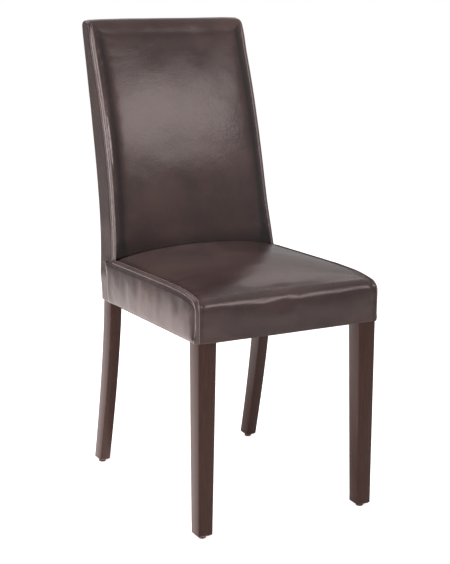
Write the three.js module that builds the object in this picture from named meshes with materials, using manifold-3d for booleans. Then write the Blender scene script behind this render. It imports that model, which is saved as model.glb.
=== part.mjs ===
// An upholstered dining chair: a tenoned wooden frame, boards and foam, and a sewn leathercloth cover.
// Millimetres. +X is the sitter's left, -Y the front, +Z up, and the glides stand on z = 0.
import * as THREE from "three";
import { mergeVertices } from "three/addons/utils/BufferGeometryUtils.js";
import Module from "manifold-3d";

const wasm = await Module();
wasm.setup();

// Overall sizes
const frameWidth = 409; // across the outer faces of the legs
const frameDepth = 464; // front of the front legs to rear of the posts, at the hem
const backHeight = 1000; // floor to the top of the back
const hemHeight = 408; // floor to the cover's lower edge, at the front
const hemFall = 10; // how much lower the hem is at the rear
const clearance = 0.3; // between pieces that touch
const overrun = 20; // how far a cutting shape runs past what it cuts

// Front legs
const legSize = 40;
const legFootSize = 32.4;
const footChamfer = 2.5;
const woodRound = 2; // eased long edges

// Rear posts: leg and back stile in one
const postWidth = 27;
const postFootWidth = 25;
const postDepth = 39;
const postFootDepth = 33;
const stileTopDepth = 22;
const rearSplay = 69; // how far the foot stands behind the knee
const splayPower = 1.4; // shape of the leg's curve
const kneeDrop = 3; // from the rear hem to the start of the bend
const kneeEase = 50; // height over which the post bends from leg to stile
const stileSlope = 0.21; // lean of the stile, as a tangent
const stileBow = 10; // further lean at the top of the stile
const narrowingPower = 5; // how soon the back narrows above the seat

// Glides
const glideRadius = 8;
const glideHeight = 7;
const glideRound = 1.5;
const nailRadius = 1.4;
const nailLength = 16;

// Rails and joints
const railHeight = 55;
const railThickness = 22;
const hemTurn = 1.6; // height of the rails' lower edges above the hem
const rearRailSetIn = 4;
const tenonThickness = 8;
const tenonShoulder = 9; // from a rail's edge to its tenon's
const tenonLength = 17;
const sideTenonLength = 15; // shorter, so that the tenons pass each other in a leg

// Back rails
const lowerRailRise = 20; // from the underside of the back cushion to the lower rail
const lowerRailHeight = 42;
const middleRailHeight = 48;
const topRailHeight = 54;
const backRailThickness = 18;
const backRailSetIn = 2;
const backTenonThickness = 7;
const backTenonLength = 14;

// Corner blocks and screws
const blockReach = 46; // how far a block runs along a rail from the leg
const blockHeight = 30;
const blockDrop = 10; // from the rails' upper edges to a block
const screwRadius = 2;
const screwHeadRadius = 4;
const screwHeadHeight = 2.6;
const screwLength = 32;
const screwSeat = 16; // thickness of block under a screw's head
const boardScrewLength = 26;
const boardScrewInset = 70; // from the centre line

// Boards and dust cover
const seatBoardThickness = 9;
const backBoardThickness = 4;
const backBoardMargin = 2;
const dustCoverThickness = 1;

// Cover
const coverThickness = 3; // leathercloth on its wadding
const coverStand = 3.5; // from the frame to the cover's outer face
const hemRound = 6; // of the cover's edges round the frame
const edgeRound = 10; // of the cushions' edges
const roundRise = 26; // height over which the edges ease from the frame's rounding to the cushions'
const seatFoamThickness = 24.4; // at the sides, behind the front edge
const seatFallSlope = 0.028; // fall of the seat's top towards the rear
const seatFrontDrop = 11; // how far the top falls to its front edge
const seatFrontRun = 95; // distance over which it falls
const seatFrontRound = 14; // the tight front edge
const seatRearRound = 24;
const seatCrown = 20;
const crownRun = 230; // distance from the front edge over which the crown rises
const crownPower = 2.6; // how flat the crown is across the middle
const fallRun = 150; // from the front edge to where the seat's top starts to fall to the rear
const backTopWidth = 384;
const seatPinch = 20.5; // how far below the seat's top the back cushion starts
const backFootDepth = 64; // depth of the back at the underside of its cushion
const backTopDepth = 41;
const backBelly = 22; // how much deeper the back is at half height than a straight taper
const backCrown = 3;
const noseRound = 15; // lower front edge of the back cushion
const topRound = 12; // front and rear edges of the back's top
const postLap = 5; // how far the band on a post stands in front of it
const tailGap = 1.5; // from the seat board to the tail of the back's front panel

// Facets
const levelCount = 10; // rungs up the face of the back
const kneeCount = 3; // rungs round the bend of a post
const legCount = 8; // rungs up the curve of a rear leg
const flatCount = 9; // rungs along the top of the seat
const flatPower = 1.5; // closer together towards the front
const arcSteps = 3;
const roundSteps = 3;
const turnSteps = 12; // sides of glides and screws
const flatShares = [-0.7, -0.35, 0, 0.35, 0.7]; // slices across the flat of a cushion

// Places worked out from the sizes
const frontFace = -frameDepth / 2;
const rearFace = frameDepth / 2;
const sideFace = frameWidth / 2;
const coverFront = frontFace - coverStand;
const coverSide = sideFace + coverStand;
const stileTop = backHeight - topRound;
const hemRear = hemHeight - hemFall;
const kneeHeight = hemRear - kneeDrop;
const backTopHalf = backTopWidth / 2;

const mixShare = (a, b, share) => a + (b - a) * share;
const clampShare = (share) => Math.min(1, Math.max(0, share));

// Height of the hem at a place along the depth
function hemAt(y) {
  return hemHeight - (hemFall * (y - coverFront)) / (rearFace - coverFront);
}

const railBottomAt = (y) => hemAt(y) + hemTurn;
const railTopAt = (y) => railBottomAt(y) + railHeight;
const boardTopAt = (y) => railTopAt(y) + clearance + seatBoardThickness;
const narrowFrom = railTopAt(rearFace - postDepth);
const seatHeight = boardTopAt(frontFace) + clearance + seatFoamThickness + coverThickness;
const backFootHeight = seatHeight - seatPinch;

// Outer half width of the back cover: as wide as the seat up to the rails' upper edge, then narrowing
function backHalfAt(z) {
  const share = clampShare((backHeight - z) / (backHeight - narrowFrom));
  return backTopHalf + (coverSide - backTopHalf) * share ** narrowingPower;
}

// Rear face of a post: a sabre curve up to the knee, an easing bend, then a leaning stile
function postRearAt(z) {
  if (z < kneeHeight) {
    const share = (kneeHeight - z) / (kneeHeight - glideHeight);
    return rearFace + rearSplay * share ** splayPower;
  }
  const rise = z - kneeHeight;
  if (rise < kneeEase) return rearFace + (stileSlope * rise * rise) / (2 * kneeEase);
  const above = rise - kneeEase;
  const bowShare = above / (backHeight - kneeHeight - kneeEase);
  return rearFace + stileSlope * (kneeEase / 2 + above) + stileBow * bowShare ** 2;
}

function postDepthAt(z) {
  const legShare = clampShare((kneeHeight - z) / (kneeHeight - glideHeight));
  const stileShare = clampShare((z - kneeHeight) / (backHeight - kneeHeight));
  return postDepth - (postDepth - postFootDepth) * legShare - (postDepth - stileTopDepth) * stileShare;
}

const postFrontAt = (z) => postRearAt(z) - postDepthAt(z);
const postOuterAt = (z) => Math.min(sideFace, backHalfAt(z) - coverStand);

function postWidthAt(z) {
  return mixShare(postWidth, postFootWidth, clampShare((hemRear - z) / (hemRear - glideHeight)));
}

const postInnerAt = (z) => postOuterAt(z) - postWidthAt(z);
const backRearAt = (z) => postRearAt(z) + coverStand;

// Face of the back cushion
function backFrontAt(z) {
  const share = (z - backFootHeight) / (backHeight - backFootHeight);
  const depth = mixShare(backFootDepth, backTopDepth, share) + backBelly * 4 * share * (1 - share);
  return backRearAt(z) - depth;
}

// Solids

function solidOf(geometry) {
  geometry.deleteAttribute("normal");
  geometry.deleteAttribute("uv");
  const merged = mergeVertices(geometry);
  const vertProperties = new Float32Array(merged.attributes.position.array);
  const triVerts = new Uint32Array(merged.index.array);
  const solid = new wasm.Manifold(new wasm.Mesh({ numProp: 3, vertProperties, triVerts }));
  if (solid.volume() > 0) return solid;
  triVerts.reverse();
  return new wasm.Manifold(new wasm.Mesh({ numProp: 3, vertProperties, triVerts }));
}

function geometryOf(solid) {
  const { numProp, vertProperties, triVerts } = solid.getMesh();
  const positions = [];
  for (let i = 0; i < vertProperties.length; i += numProp) {
    positions.push(...vertProperties.subarray(i, i + 3));
  }
  return new THREE.BufferGeometry()
    .setAttribute("position", new THREE.Float32BufferAttribute(positions, 3))
    .setIndex([...triVerts]);
}

// Closed body through rings of points, each ring with as many points as the last
function loft(rings, capTriangles) {
  const size = rings[0].length;
  const index = [];
  for (let r = 0; r + 1 < rings.length; r++) {
    for (let i = 0; i < size; i++) {
      const a = r * size + i;
      const b = r * size + ((i + 1) % size);
      index.push(a, b, b + size, a, b + size, a + size);
    }
  }
  const last = (rings.length - 1) * size;
  for (const [a, b, c] of capTriangles) {
    index.push(a, c, b, last + a, last + b, last + c);
  }
  const geometry = new THREE.BufferGeometry().setFromPoints(rings.flat()).setIndex(index);
  return solidOf(geometry);
}

// Cap of a convex ring: a fan from its first point
function fanCap(ring) {
  return Array.from({ length: ring.length - 2 }, (_, i) => [0, i + 1, i + 2]);
}

// Cap of a ring made of rungs: quads between neighbouring rungs
function ladderCap(rungCount) {
  const size = 2 * rungCount;
  return Array.from({ length: rungCount - 1 }, (_, i) => [
    [i, i + 1, size - 2 - i],
    [i, size - 2 - i, size - 1 - i],
  ]).flat();
}

// A side view outline moved inwards, each corner by its own distance. Points are (depth, height).
function inset(outline, distanceAt) {
  const turn = Math.sign(THREE.ShapeUtils.area(outline));
  return outline.map((point, i) => {
    const before = outline[(i + outline.length - 1) % outline.length];
    const after = outline[(i + 1) % outline.length];
    const arriving = point.clone().sub(before).normalize();
    const leaving = after.clone().sub(point).normalize();
    const inward = new THREE.Vector2(-arriving.y - leaving.y, arriving.x + leaving.x).normalize();
    const halfCosine = inward.dot(new THREE.Vector2(-arriving.y, arriving.x));
    return point.clone().addScaledVector(inward, (turn * distanceAt(i)) / halfCosine);
  });
}

const grown = (outline, amount) => inset(outline, () => -amount);

// Edges are tight round the frame and full on the foam above it
function roundAt(z) {
  const fullShare = THREE.MathUtils.smoothstep(z, seatHeight - roundRise, seatHeight);
  return mixShare(hemRound, edgeRound, fullShare);
}

const rungOutline = (rungs) => [
  ...rungs.map((rung) => rung[0]),
  ...rungs.map((rung) => rung[1]).reverse(),
];

// A cushion: a side view outline swept across the width, with rounded edges and a crown.
// The outline comes as rungs between its two sides, and the frame side keeps tight edges all along.
// shrink makes the body smaller all round.
function cushion({ rungs, frameSide, halfAt, crown, shrink }) {
  const outline = rungOutline(rungs);
  const rounds = outline.map((point, i) => {
    const isFrameSide = i < rungs.length === (frameSide === "first");
    return (isFrameSide ? hemRound : roundAt(point.y)) - shrink;
  });
  const steps = Array.from({ length: roundSteps + 1 }, (_, i) => (i * Math.PI) / 2 / roundSteps);
  const rightSlices = steps.map((angle) => ({ angle, side: 1 }));
  const leftSlices = steps.map((angle) => ({ angle, side: -1 })).reverse();
  const slices = [...leftSlices, ...flatShares.map((share) => ({ share })), ...rightSlices];
  const rings = slices.map(({ angle = 0, side = 0, share }) => {
    const ring = inset(outline, (i) => shrink + rounds[i] * (1 - Math.cos(angle)));
    const across = side || share;
    return ring.map((point, i) => {
      const flatHalf = halfAt(point.y) - shrink - rounds[i];
      const x = side ? side * (flatHalf + rounds[i] * Math.sin(angle)) : share * flatHalf;
      const swell = crown(point, i < rungs.length, 1 - Math.abs(across) ** crownPower);
      return new THREE.Vector3(x, point.x + swell.x, point.y + swell.y);
    });
  });
  return loft(rings, ladderCap(rungs.length));
}

// A body with square edges that ends at a half width on each side
function rungBody(rungs, halfAt) {
  const rings = [-1, 1].map((side) =>
    rungOutline(rungs).map((point) => new THREE.Vector3(side * halfAt(point.y), point.x, point.y)),
  );
  return loft(rings, ladderCap(rungs.length));
}

// A side view outline extruded from one place across the width to another
function sidePrism(points, fromX, toX) {
  const geometry = new THREE.ExtrudeGeometry(new THREE.Shape(points), {
    depth: Math.abs(toX - fromX),
    bevelEnabled: false,
  });
  const axes = [new THREE.Vector3(0, 1, 0), new THREE.Vector3(0, 0, 1), new THREE.Vector3(1, 0, 0)];
  geometry.applyMatrix4(new THREE.Matrix4().makeBasis(...axes));
  geometry.translate(Math.min(fromX, toX), 0, 0);
  return solidOf(geometry);
}

// A plan outline raised by a thickness, its floor following a height along the depth
function planPrism(points, floorAt, thickness) {
  const geometry = new THREE.ExtrudeGeometry(new THREE.Shape(points), {
    depth: thickness,
    bevelEnabled: false,
  });
  const position = geometry.attributes.position;
  for (let i = 0; i < position.count; i++) {
    position.setZ(i, position.getZ(i) + floorAt(position.getY(i)));
  }
  return solidOf(geometry);
}

function cut(solid, cutters) {
  return solid.subtract(wasm.Manifold.union(cutters));
}

function boxBetween(low, high) {
  const size = new THREE.Vector3().subVectors(high, low);
  const geometry = new THREE.BoxGeometry(size.x, size.y, size.z);
  geometry.translate((low.x + high.x) / 2, (low.y + high.y) / 2, (low.z + high.z) / 2);
  return solidOf(geometry);
}

// A turned body about +Z, from a profile of (radius, height) points that starts and ends on the axis
function turned(profile) {
  return solidOf(new THREE.LatheGeometry(profile, turnSteps).rotateX(Math.PI / 2));
}

const at = (a, b) => new THREE.Vector2(a, b);

function arc(centre, radius, fromDegrees, toDegrees, steps = arcSteps) {
  return Array.from({ length: steps + 1 }, (_, i) => {
    const angle = THREE.MathUtils.degToRad(mixShare(fromDegrees, toDegrees, i / steps));
    return at(centre.x + radius * Math.cos(angle), centre.y + radius * Math.sin(angle));
  });
}

function levels(from, to, count) {
  return Array.from({ length: count + 1 }, (_, i) => mixShare(from, to, i / count));
}

// Heights shared by the stiles and the back cover, so that their facets lie parallel
const kneeLevels = levels(kneeHeight, kneeHeight + kneeEase, kneeCount);
const faceLevels = levels(backFootHeight + noseRound, stileTop, levelCount);
const stileLevels = [...kneeLevels, narrowFrom, backFootHeight, ...faceLevels];

function levelsWithin(bottom, top) {
  const between = stileLevels.filter((z) => z > bottom + clearance && z < top - clearance);
  return [bottom, ...between, top];
}

// Wooden frame

// A rounded rectangle in plan, between two corners
function plankRing(lowX, highX, lowY, highY, z) {
  const corners = [
    [highX - woodRound, highY - woodRound, 0],
    [lowX + woodRound, highY - woodRound, 90],
    [lowX + woodRound, lowY + woodRound, 180],
    [highX - woodRound, lowY + woodRound, 270],
  ];
  return corners.flatMap(([x, y, start]) =>
    arc(at(x, y), woodRound, start, start + 90, 2).map((p) => new THREE.Vector3(p.x, p.y, z)),
  );
}

// A front leg in its own frame: outer face and front face on the axes, the taper on the other two
function frontLegBody(side) {
  const top = railTopAt(frontFace + legSize);
  const ring = (size, trim, z) => {
    const xs = [side * -trim, side * (trim - size)].sort((a, b) => a - b);
    return plankRing(xs[0], xs[1], trim, size - trim, z);
  };
  const rings = [
    ring(legFootSize, footChamfer, glideHeight),
    ring(legFootSize, 0, glideHeight + footChamfer),
    ring(legSize, 0, hemHeight),
    ring(legSize, 0, top),
  ];
  return loft(rings, fanCap(rings[0]));
}

function postBody(side) {
  const ring = (z, trim = 0) => {
    const xs = [side * (postOuterAt(z) - trim), side * (postInnerAt(z) + trim)].sort((a, b) => a - b);
    return plankRing(xs[0], xs[1], postFrontAt(z) + trim, postRearAt(z) - trim, z);
  };
  const legLevels = levels(glideHeight + footChamfer, kneeHeight, legCount).slice(0, -1);
  const heights = [...legLevels, ...stileLevels];
  const rings = [ring(glideHeight, footChamfer), ...heights.map((z) => ring(z))];
  return loft(rings, fanCap(rings[0]));
}

// A glide: a domed disc with its nail, in its own frame, standing on z = 0
function glideBody(grow = 0) {
  const nailTip = glideHeight + nailLength + grow;
  return turned([
    at(0, 0),
    at(glideRadius - glideRound, 0),
    at(glideRadius, glideRound),
    at(glideRadius, glideHeight - clearance),
    at(nailRadius + grow, glideHeight - clearance),
    at(nailRadius + grow, nailTip - nailRadius * 2),
    at(0, nailTip),
  ]);
}

// Rails

function crossSection(front, rear, bottomAt, topAt) {
  return [
    at(front, bottomAt(front)),
    at(rear, bottomAt(rear)),
    at(rear, topAt(rear)),
    at(front, topAt(front)),
  ];
}

// The seat rail across the front or the rear, and its tenon
function crossRail(front, halfAt) {
  const rear = front + railThickness;
  const middle = (front + rear) / 2;
  const rungs = levels(0, 1, kneeCount).map((share) =>
    [front, rear].map((y) => at(y, mixShare(railBottomAt(y), railTopAt(y), share))),
  );
  const body = rungBody(rungs, halfAt);
  const tenon = crossSection(
    middle - tenonThickness / 2,
    middle + tenonThickness / 2,
    (y) => railBottomAt(y) + tenonShoulder,
    (y) => railTopAt(y) - tenonShoulder,
  );
  return { body, tenon, reach: halfAt(railBottomAt(front)) + tenonLength };
}

const rearRailFront = rearFace - rearRailSetIn - railThickness;
const frontRail = crossRail(frontFace, () => sideFace - legSize - clearance);
const rearRail = crossRail(rearRailFront, (z) => postInnerAt(z) - clearance);

function crossRailBody({ body, tenon, reach }) {
  return body.add(sidePrism(tenon, -reach, reach));
}

function crossMortise({ tenon, reach }) {
  return sidePrism(grown(tenon, clearance), -reach - clearance, reach + clearance);
}

// A side rail runs from the front leg's rear face to the post's front face
const sideRailFront = frontFace + legSize + clearance;
const sideRailMiddle = sideFace - railThickness / 2;
const sideTenonFront = sideRailFront - sideTenonLength;
const sideTenonRear = postFrontAt(hemRear) + sideTenonLength;

function sideRailBody(side) {
  const rearAt = (z) => postFrontAt(z) - clearance;
  const low = railBottomAt(rearFace - postDepth);
  const upper = levels(kneeHeight + kneeEase / 2, narrowFrom, 2);
  const outline = [
    at(sideRailFront, railBottomAt(sideRailFront)),
    at(rearAt(low), railBottomAt(rearAt(low))),
    ...upper.map((z) => at(rearAt(z), z)),
    at(sideRailFront, railTopAt(sideRailFront)),
  ];
  const body = sidePrism(outline, side * sideFace, side * (sideFace - railThickness));
  return body.add(sideTenonBody(side, 0));
}

function sideTenonBody(side, grow) {
  const outline = crossSection(
    sideTenonFront,
    sideTenonRear,
    (y) => railBottomAt(y) + tenonShoulder,
    (y) => railTopAt(y) - tenonShoulder,
  );
  const xs = [-1, 1].map((edge) => side * (sideRailMiddle + edge * (tenonThickness / 2 + grow)));
  return sidePrism(grown(outline, grow), ...xs);
}

// A rail of the back, between the stiles, leaning with them
function backRail(bottom, height) {
  const rungAt = (setIn, thickness) => (z) => [
    at(postRearAt(z) - setIn - thickness, z),
    at(postRearAt(z) - setIn, z),
  ];
  const tenonSetIn = backRailSetIn + (backRailThickness - backTenonThickness) / 2;
  const tenonLevels = levels(bottom + tenonShoulder, bottom + height - tenonShoulder, 1);
  return {
    rungs: levels(bottom, bottom + height, 2).map(rungAt(backRailSetIn, backRailThickness)),
    tenon: tenonLevels.map(rungAt(tenonSetIn, backTenonThickness)),
    reach: postInnerAt(bottom + height / 2) + backTenonLength,
  };
}

function backRailBody({ rungs, tenon, reach }) {
  const body = rungBody(rungs, (z) => postInnerAt(z) - clearance);
  return body.add(sidePrism(rungOutline(tenon), -reach, reach));
}

function backMortise({ tenon, reach }) {
  return sidePrism(grown(rungOutline(tenon), clearance), -reach - clearance, reach + clearance);
}

const lowerRailBottom = backFootHeight + lowerRailRise;
const topRailBottom = stileTop - topRailHeight;
const middleRailBottom = (lowerRailBottom + lowerRailHeight + topRailBottom - middleRailHeight) / 2;
const backRails = {
  back_lower_rail: backRail(lowerRailBottom, lowerRailHeight),
  back_middle_rail: backRail(middleRailBottom, middleRailHeight),
  back_top_rail: backRail(topRailBottom, topRailHeight),
};

// Corner blocks and screws

// A pan head screw along +Z, its head's underside at the origin and its tip below
function screwBody(length, grow = 0) {
  const shank = screwRadius + grow;
  return turned([
    at(0, -length - grow),
    at(shank, -length + shank * 2),
    at(shank, 0),
    at(screwHeadRadius, 0),
    at(screwHeadRadius, screwHeadHeight / 2),
    at(screwHeadRadius / 2, screwHeadHeight),
    at(0, screwHeadHeight),
  ]);
}

// The hole that a screw needs: its shank's, and room for its head
function screwHole(length) {
  const shank = screwRadius + clearance;
  const room = screwHeadRadius + clearance;
  const reach = length + clearance;
  return turned([
    at(0, -reach),
    at(shank, -reach),
    at(shank, -clearance),
    at(room, -clearance),
    at(room, blockReach),
    at(0, blockReach),
  ]);
}

// The four corners of the seat frame: inner faces of the rails, and the leg's or post's two inner faces
const corners = [
  { end: "front", side: 1, toward: 1 },
  { end: "front", side: -1, toward: 1 },
  { end: "rear", side: 1, toward: -1 },
  { end: "rear", side: -1, toward: -1 },
].map((corner) => {
  const isFront = corner.end === "front";
  return {
    ...corner,
    railY: isFront ? frontFace + railThickness + clearance : rearRailFront - clearance,
    legY: isFront ? frontFace + legSize + clearance : postFrontAt(hemRear) - clearance,
    railX: sideFace - railThickness - clearance,
    legX: (isFront ? sideFace - legSize : postInnerAt(narrowFrom)) - clearance,
  };
});

const blockFloorAt = (y) => railTopAt(y) - blockDrop - blockHeight;
const blockMiddleAt = (y) => blockFloorAt(y) + blockHeight / 2;

// A block fills the corner inside the two rails, notched for the leg
function blockBody(corner) {
  const { side, toward, railY, legY, railX, legX } = corner;
  const outline = [
    at(side * (legX - blockReach), railY),
    at(side * legX, railY),
    at(side * legX, legY),
    at(side * railX, legY),
    at(side * railX, legY + toward * blockReach),
  ];
  return drilled(planPrism(outline, blockFloorAt, blockHeight));
}

// Two screws a block: one through it into the cross rail, one into the side rail
function blockScrews({ side, toward, railY, legY, railX, legX }) {
  const acrossX = side * (legX - blockReach / 3);
  const alongY = legY + toward * (blockReach / 3);
  return [
    {
      position: new THREE.Vector3(acrossX, railY + toward * screwSeat, blockMiddleAt(railY)),
      direction: new THREE.Vector3(0, toward, 0),
    },
    {
      position: new THREE.Vector3(side * (railX - screwSeat), alongY, blockMiddleAt(alongY)),
      direction: new THREE.Vector3(-side, 0, 0),
    },
  ];
}

// Turns a body that lies along +Z to a direction, and moves it to a place
function placementOf({ position, direction }) {
  const turn = new THREE.Quaternion().setFromUnitVectors(new THREE.Vector3(0, 0, 1), direction);
  return new THREE.Matrix4().compose(position, turn, new THREE.Vector3(1, 1, 1));
}

function placed(solid, place) {
  return solid.transform(placementOf(place).elements);
}

// Boards

const boardEdge = clearance * 2;

// A plan outline as wide as the frame that leaves out the two posts at its rear
function notchedPlan(frontY, sideX, postY, postX, rearY) {
  return [
    at(-sideX, frontY),
    at(sideX, frontY),
    at(sideX, postY),
    at(postX, postY),
    at(postX, rearY),
    at(-postX, rearY),
    at(-postX, postY),
    at(-sideX, postY),
  ];
}

const boardScrews = [1, -1].flatMap((side) =>
  [frontFace + railThickness / 2, rearRailFront + railThickness / 2].map((y) => ({
    position: new THREE.Vector3(side * boardScrewInset, y, boardTopAt(y) - screwHeadHeight),
    direction: new THREE.Vector3(0, 0, 1),
  })),
);

// Cuts the holes of all screws into a body
function drilled(solid) {
  const blockHoles = corners.flatMap(blockScrews).map((screw) => placed(screwHole(screwLength), screw));
  const boardHoles = boardScrews.map((screw) => placed(screwHole(boardScrewLength), screw));
  return cut(solid, [...blockHoles, ...boardHoles]);
}

function seatBoardBody() {
  const postY = postFrontAt(hemRear) - boardEdge;
  const rearY = rearFace - rearRailSetIn - boardEdge;
  const plan = notchedPlan(
    frontFace + boardEdge,
    sideFace - boardEdge,
    postY,
    postInnerAt(boardTopAt(rearFace)) - boardEdge,
    rearY,
  );
  return drilled(planPrism(plan, (y) => railTopAt(y) + clearance, seatBoardThickness));
}

// Thin plywood on the front of the stiles and back rails
function backBoardBody() {
  const bottom = lowerRailBottom;
  const top = stileTop - backBoardMargin;
  const rungs = levelsWithin(bottom, top).map((z) => {
    const front = postFrontAt(z) - clearance - backBoardThickness;
    return [at(front, z), at(front + backBoardThickness, z)];
  });
  return rungBody(rungs, (z) => postOuterAt(z) - backBoardMargin);
}

function dustCoverBody() {
  const legEdge = legSize + boardEdge;
  const postY = postFrontAt(hemRear) - boardEdge;
  const rearX = postInnerAt(hemRear) - boardEdge;
  const plan = [
    at(-sideFace + legEdge, frontFace),
    at(sideFace - legEdge, frontFace),
    at(sideFace - legEdge, frontFace + legEdge),
    at(sideFace, frontFace + legEdge),
    ...notchedPlan(frontFace, sideFace, postY, rearX, rearFace - rearRailSetIn).slice(2),
    at(-sideFace, frontFace + legEdge),
    at(-sideFace + legEdge, frontFace + legEdge),
  ];
  return planPrism(plan, (y) => railBottomAt(y) - clearance - dustCoverThickness, dustCoverThickness);
}

// Cushions

// Side view of the back: the band on the post, the underside, the face, the top and the rear
const postBandFrontAt = (z) => postFrontAt(z) - postLap;

function backRungs() {
  const low = hemRear - overrun;
  const rung = (front, rearZ) => [front, at(backRearAt(rearZ), rearZ)];
  const stripTop = backFootHeight - noseRound / 2;
  const stripHeights = [low, ...kneeLevels, narrowFrom, stripTop];
  const strip = stripHeights.map((z) => rung(at(postBandFrontAt(z), z), z));
  const noseTop = backFootHeight + noseRound;
  const noseCentre = at(backFrontAt(noseTop) + noseRound, noseTop);
  const nose = arc(noseCentre, noseRound, 270, 180).map((point) => rung(point, point.y));
  const face = faceLevels.slice(1, -1).map((z) => rung(at(backFrontAt(z), z), z));
  const topFront = arc(at(backFrontAt(stileTop) + topRound, stileTop), topRound, 180, 90);
  const topRear = arc(at(backRearAt(stileTop) - topRound, stileTop), topRound, 0, 90);
  return [...strip, ...nose, ...face, ...topFront.map((point, i) => [point, topRear[i]])];
}

// Side view of the seat, as rungs from the lower side to the upper
function seatTopAt(y) {
  const frontShare = 1 - clampShare((y - coverFront) / seatFrontRun);
  const fall = seatFallSlope * Math.max(0, y - coverFront - fallRun);
  return seatHeight - seatFrontDrop * frontShare * frontShare - fall;
}

const seatRear = postBandFrontAt(backFootHeight) - clearance;

function seatRungs() {
  const lowAt = (share) => {
    const y = mixShare(coverFront, postBandFrontAt(hemRear) - clearance, share);
    return at(y, hemAt(y) - overrun);
  };
  const frontTurn = Math.atan((2 * seatFrontDrop) / seatFrontRun);
  const frontEnd = coverFront + seatFrontRound * (1 - Math.sin(frontTurn));
  const frontCentre = at(
    coverFront + seatFrontRound,
    seatTopAt(frontEnd) - seatFrontRound * Math.cos(frontTurn),
  );
  const rearCentre = at(seatRear - seatRearRound, seatTopAt(seatRear - seatRearRound) - seatRearRound);
  const flat = levels(0, 1, flatCount)
    .slice(1, -1)
    .map((share) => mixShare(frontEnd, rearCentre.x, share ** flatPower))
    .map((y) => at(y, seatTopAt(y)));
  const top = [
    ...arc(frontCentre, seatFrontRound, 180, 90 + THREE.MathUtils.radToDeg(frontTurn)),
    ...flat,
    ...arc(rearCentre, seatRearRound, 90, 0),
  ];
  const depth = seatRear - coverFront;
  return top.map((point) => [lowAt((point.x - coverFront) / depth), point]);
}

// The seat swells upwards, more towards the rear, and the back a little towards the sitter
function seatSwell(point, isLower, share) {
  if (isLower) return at(0, 0);
  const rise = THREE.MathUtils.smoothstep(point.x, coverFront, coverFront + crownRun);
  const topShare = clampShare((point.y - hemHeight) / (seatHeight - hemHeight));
  return at(0, seatCrown * rise * share * topShare);
}

function backSwell(point, isFront, share) {
  const heightShare = (point.y - backFootHeight) / (backHeight - backFootHeight);
  if (!isFront || heightShare < 0) return at(0, 0);
  return at(-backCrown * share * Math.sin(Math.PI * clampShare(heightShare)), 0);
}

const backBlock = (shrink) =>
  cushion({ rungs: backRungs(), frameSide: "second", halfAt: backHalfAt, crown: backSwell, shrink });

function seatBlock(shrink) {
  const block = cushion({
    rungs: seatRungs(),
    frameSide: "first",
    halfAt: () => coverSide,
    crown: seatSwell,
    shrink,
  });
  return block.subtract(backBlock(-clearance - shrink));
}

const farX = frameWidth;
const farY = frameDepth;

// Everything below the hem
function belowHem() {
  const low = hemRear - overrun * 2;
  const outline = [at(-farY, low), at(farY, low), at(farY, hemAt(farY)), at(-farY, hemAt(-farY))];
  return sidePrism(outline, -farX, farX);
}

// Everything between two depths that follow the height, over a range of heights
function depthZone(frontAt, rearAt, bottom, top) {
  const rungs = levelsWithin(bottom, top).map((z) => [at(frontAt(z), z), at(rearAt(z), z)]);
  return rungBody(rungs, () => farX);
}

// The part of a skin within a half width
function middleZone(halfAt) {
  const heights = [hemRear - overrun * 2, ...stileLevels.slice(kneeCount + 1), backHeight + overrun];
  return rungBody(heights.map((z) => [at(-farY, z), at(farY, z)]), halfAt);
}

// A skin cut into the strip between its side seams and the two bands outside them
function sewnPanels(skin, halfAt) {
  const seamAt = (z) => halfAt(z) - coverThickness;
  const strip = skin.intersect(middleZone((z) => seamAt(z) - clearance));
  const bands = skin.subtract(middleZone((z) => seamAt(z) - clearance / 2));
  const half = (side) =>
    boxBetween(
      new THREE.Vector3(side > 0 ? 0 : -farX, -farY, 0),
      new THREE.Vector3(side > 0 ? farX : 0, farY, backHeight + overrun),
    );
  return { strip, leftBand: bands.intersect(half(1)), rightBand: bands.intersect(half(-1)) };
}

function seatPanels() {
  const skin = seatBlock(0).subtract(seatBlock(coverThickness)).subtract(belowHem());
  const rearOpening = depthZone(
    () => seatRear - seatRearRound,
    () => farY,
    hemRear - overrun,
    seatTopAt(seatRear) - seatRearRound,
  );
  const panels = sewnPanels(skin, () => coverSide);
  return { ...panels, strip: panels.strip.subtract(rearOpening) };
}

function backPanels() {
  const skin = backBlock(0).subtract(backBlock(coverThickness)).subtract(belowHem());
  const { strip, leftBand, rightBand } = sewnPanels(skin, backHalfAt);
  const rearTop = backHeight - coverThickness - clearance;
  const low = hemRear - overrun;
  const behind = (depth, top) =>
    depthZone((z) => backRearAt(z) - depth, (z) => backRearAt(z) + overrun, low, top);
  const tail = boardTopAt(seatRear) + tailGap;
  const belowTail = boxBetween(
    new THREE.Vector3(-farX, -farY, low - overrun),
    new THREE.Vector3(farX, farY, tail),
  );
  const rear = strip.intersect(behind(coverThickness + clearance, rearTop));
  const front = strip
    .subtract(behind(coverThickness + clearance * 2, rearTop + clearance))
    .subtract(belowTail);
  return { front, rear, leftBand, rightBand };
}

function seatFoamBody() {
  const low = hemRear - overrun * 2;
  const floor = (y) => boardTopAt(y) + clearance;
  const below = sidePrism(
    [at(-farY, low), at(farY, low), at(farY, floor(farY)), at(-farY, floor(-farY))],
    -farX,
    farX,
  );
  return seatBlock(coverThickness + clearance).subtract(below);
}

function backFoamBody() {
  const bottom = lowerRailBottom - noseRound;
  const ahead = depthZone(
    () => -farY,
    (z) => postFrontAt(z) - backBoardThickness - clearance * 2,
    bottom,
    backHeight,
  );
  const over = boxBetween(
    new THREE.Vector3(-farX, -farY, stileTop + clearance),
    new THREE.Vector3(farX, farY, backHeight),
  );
  return backBlock(coverThickness + clearance).intersect(ahead.add(over));
}

// Materials

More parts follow.
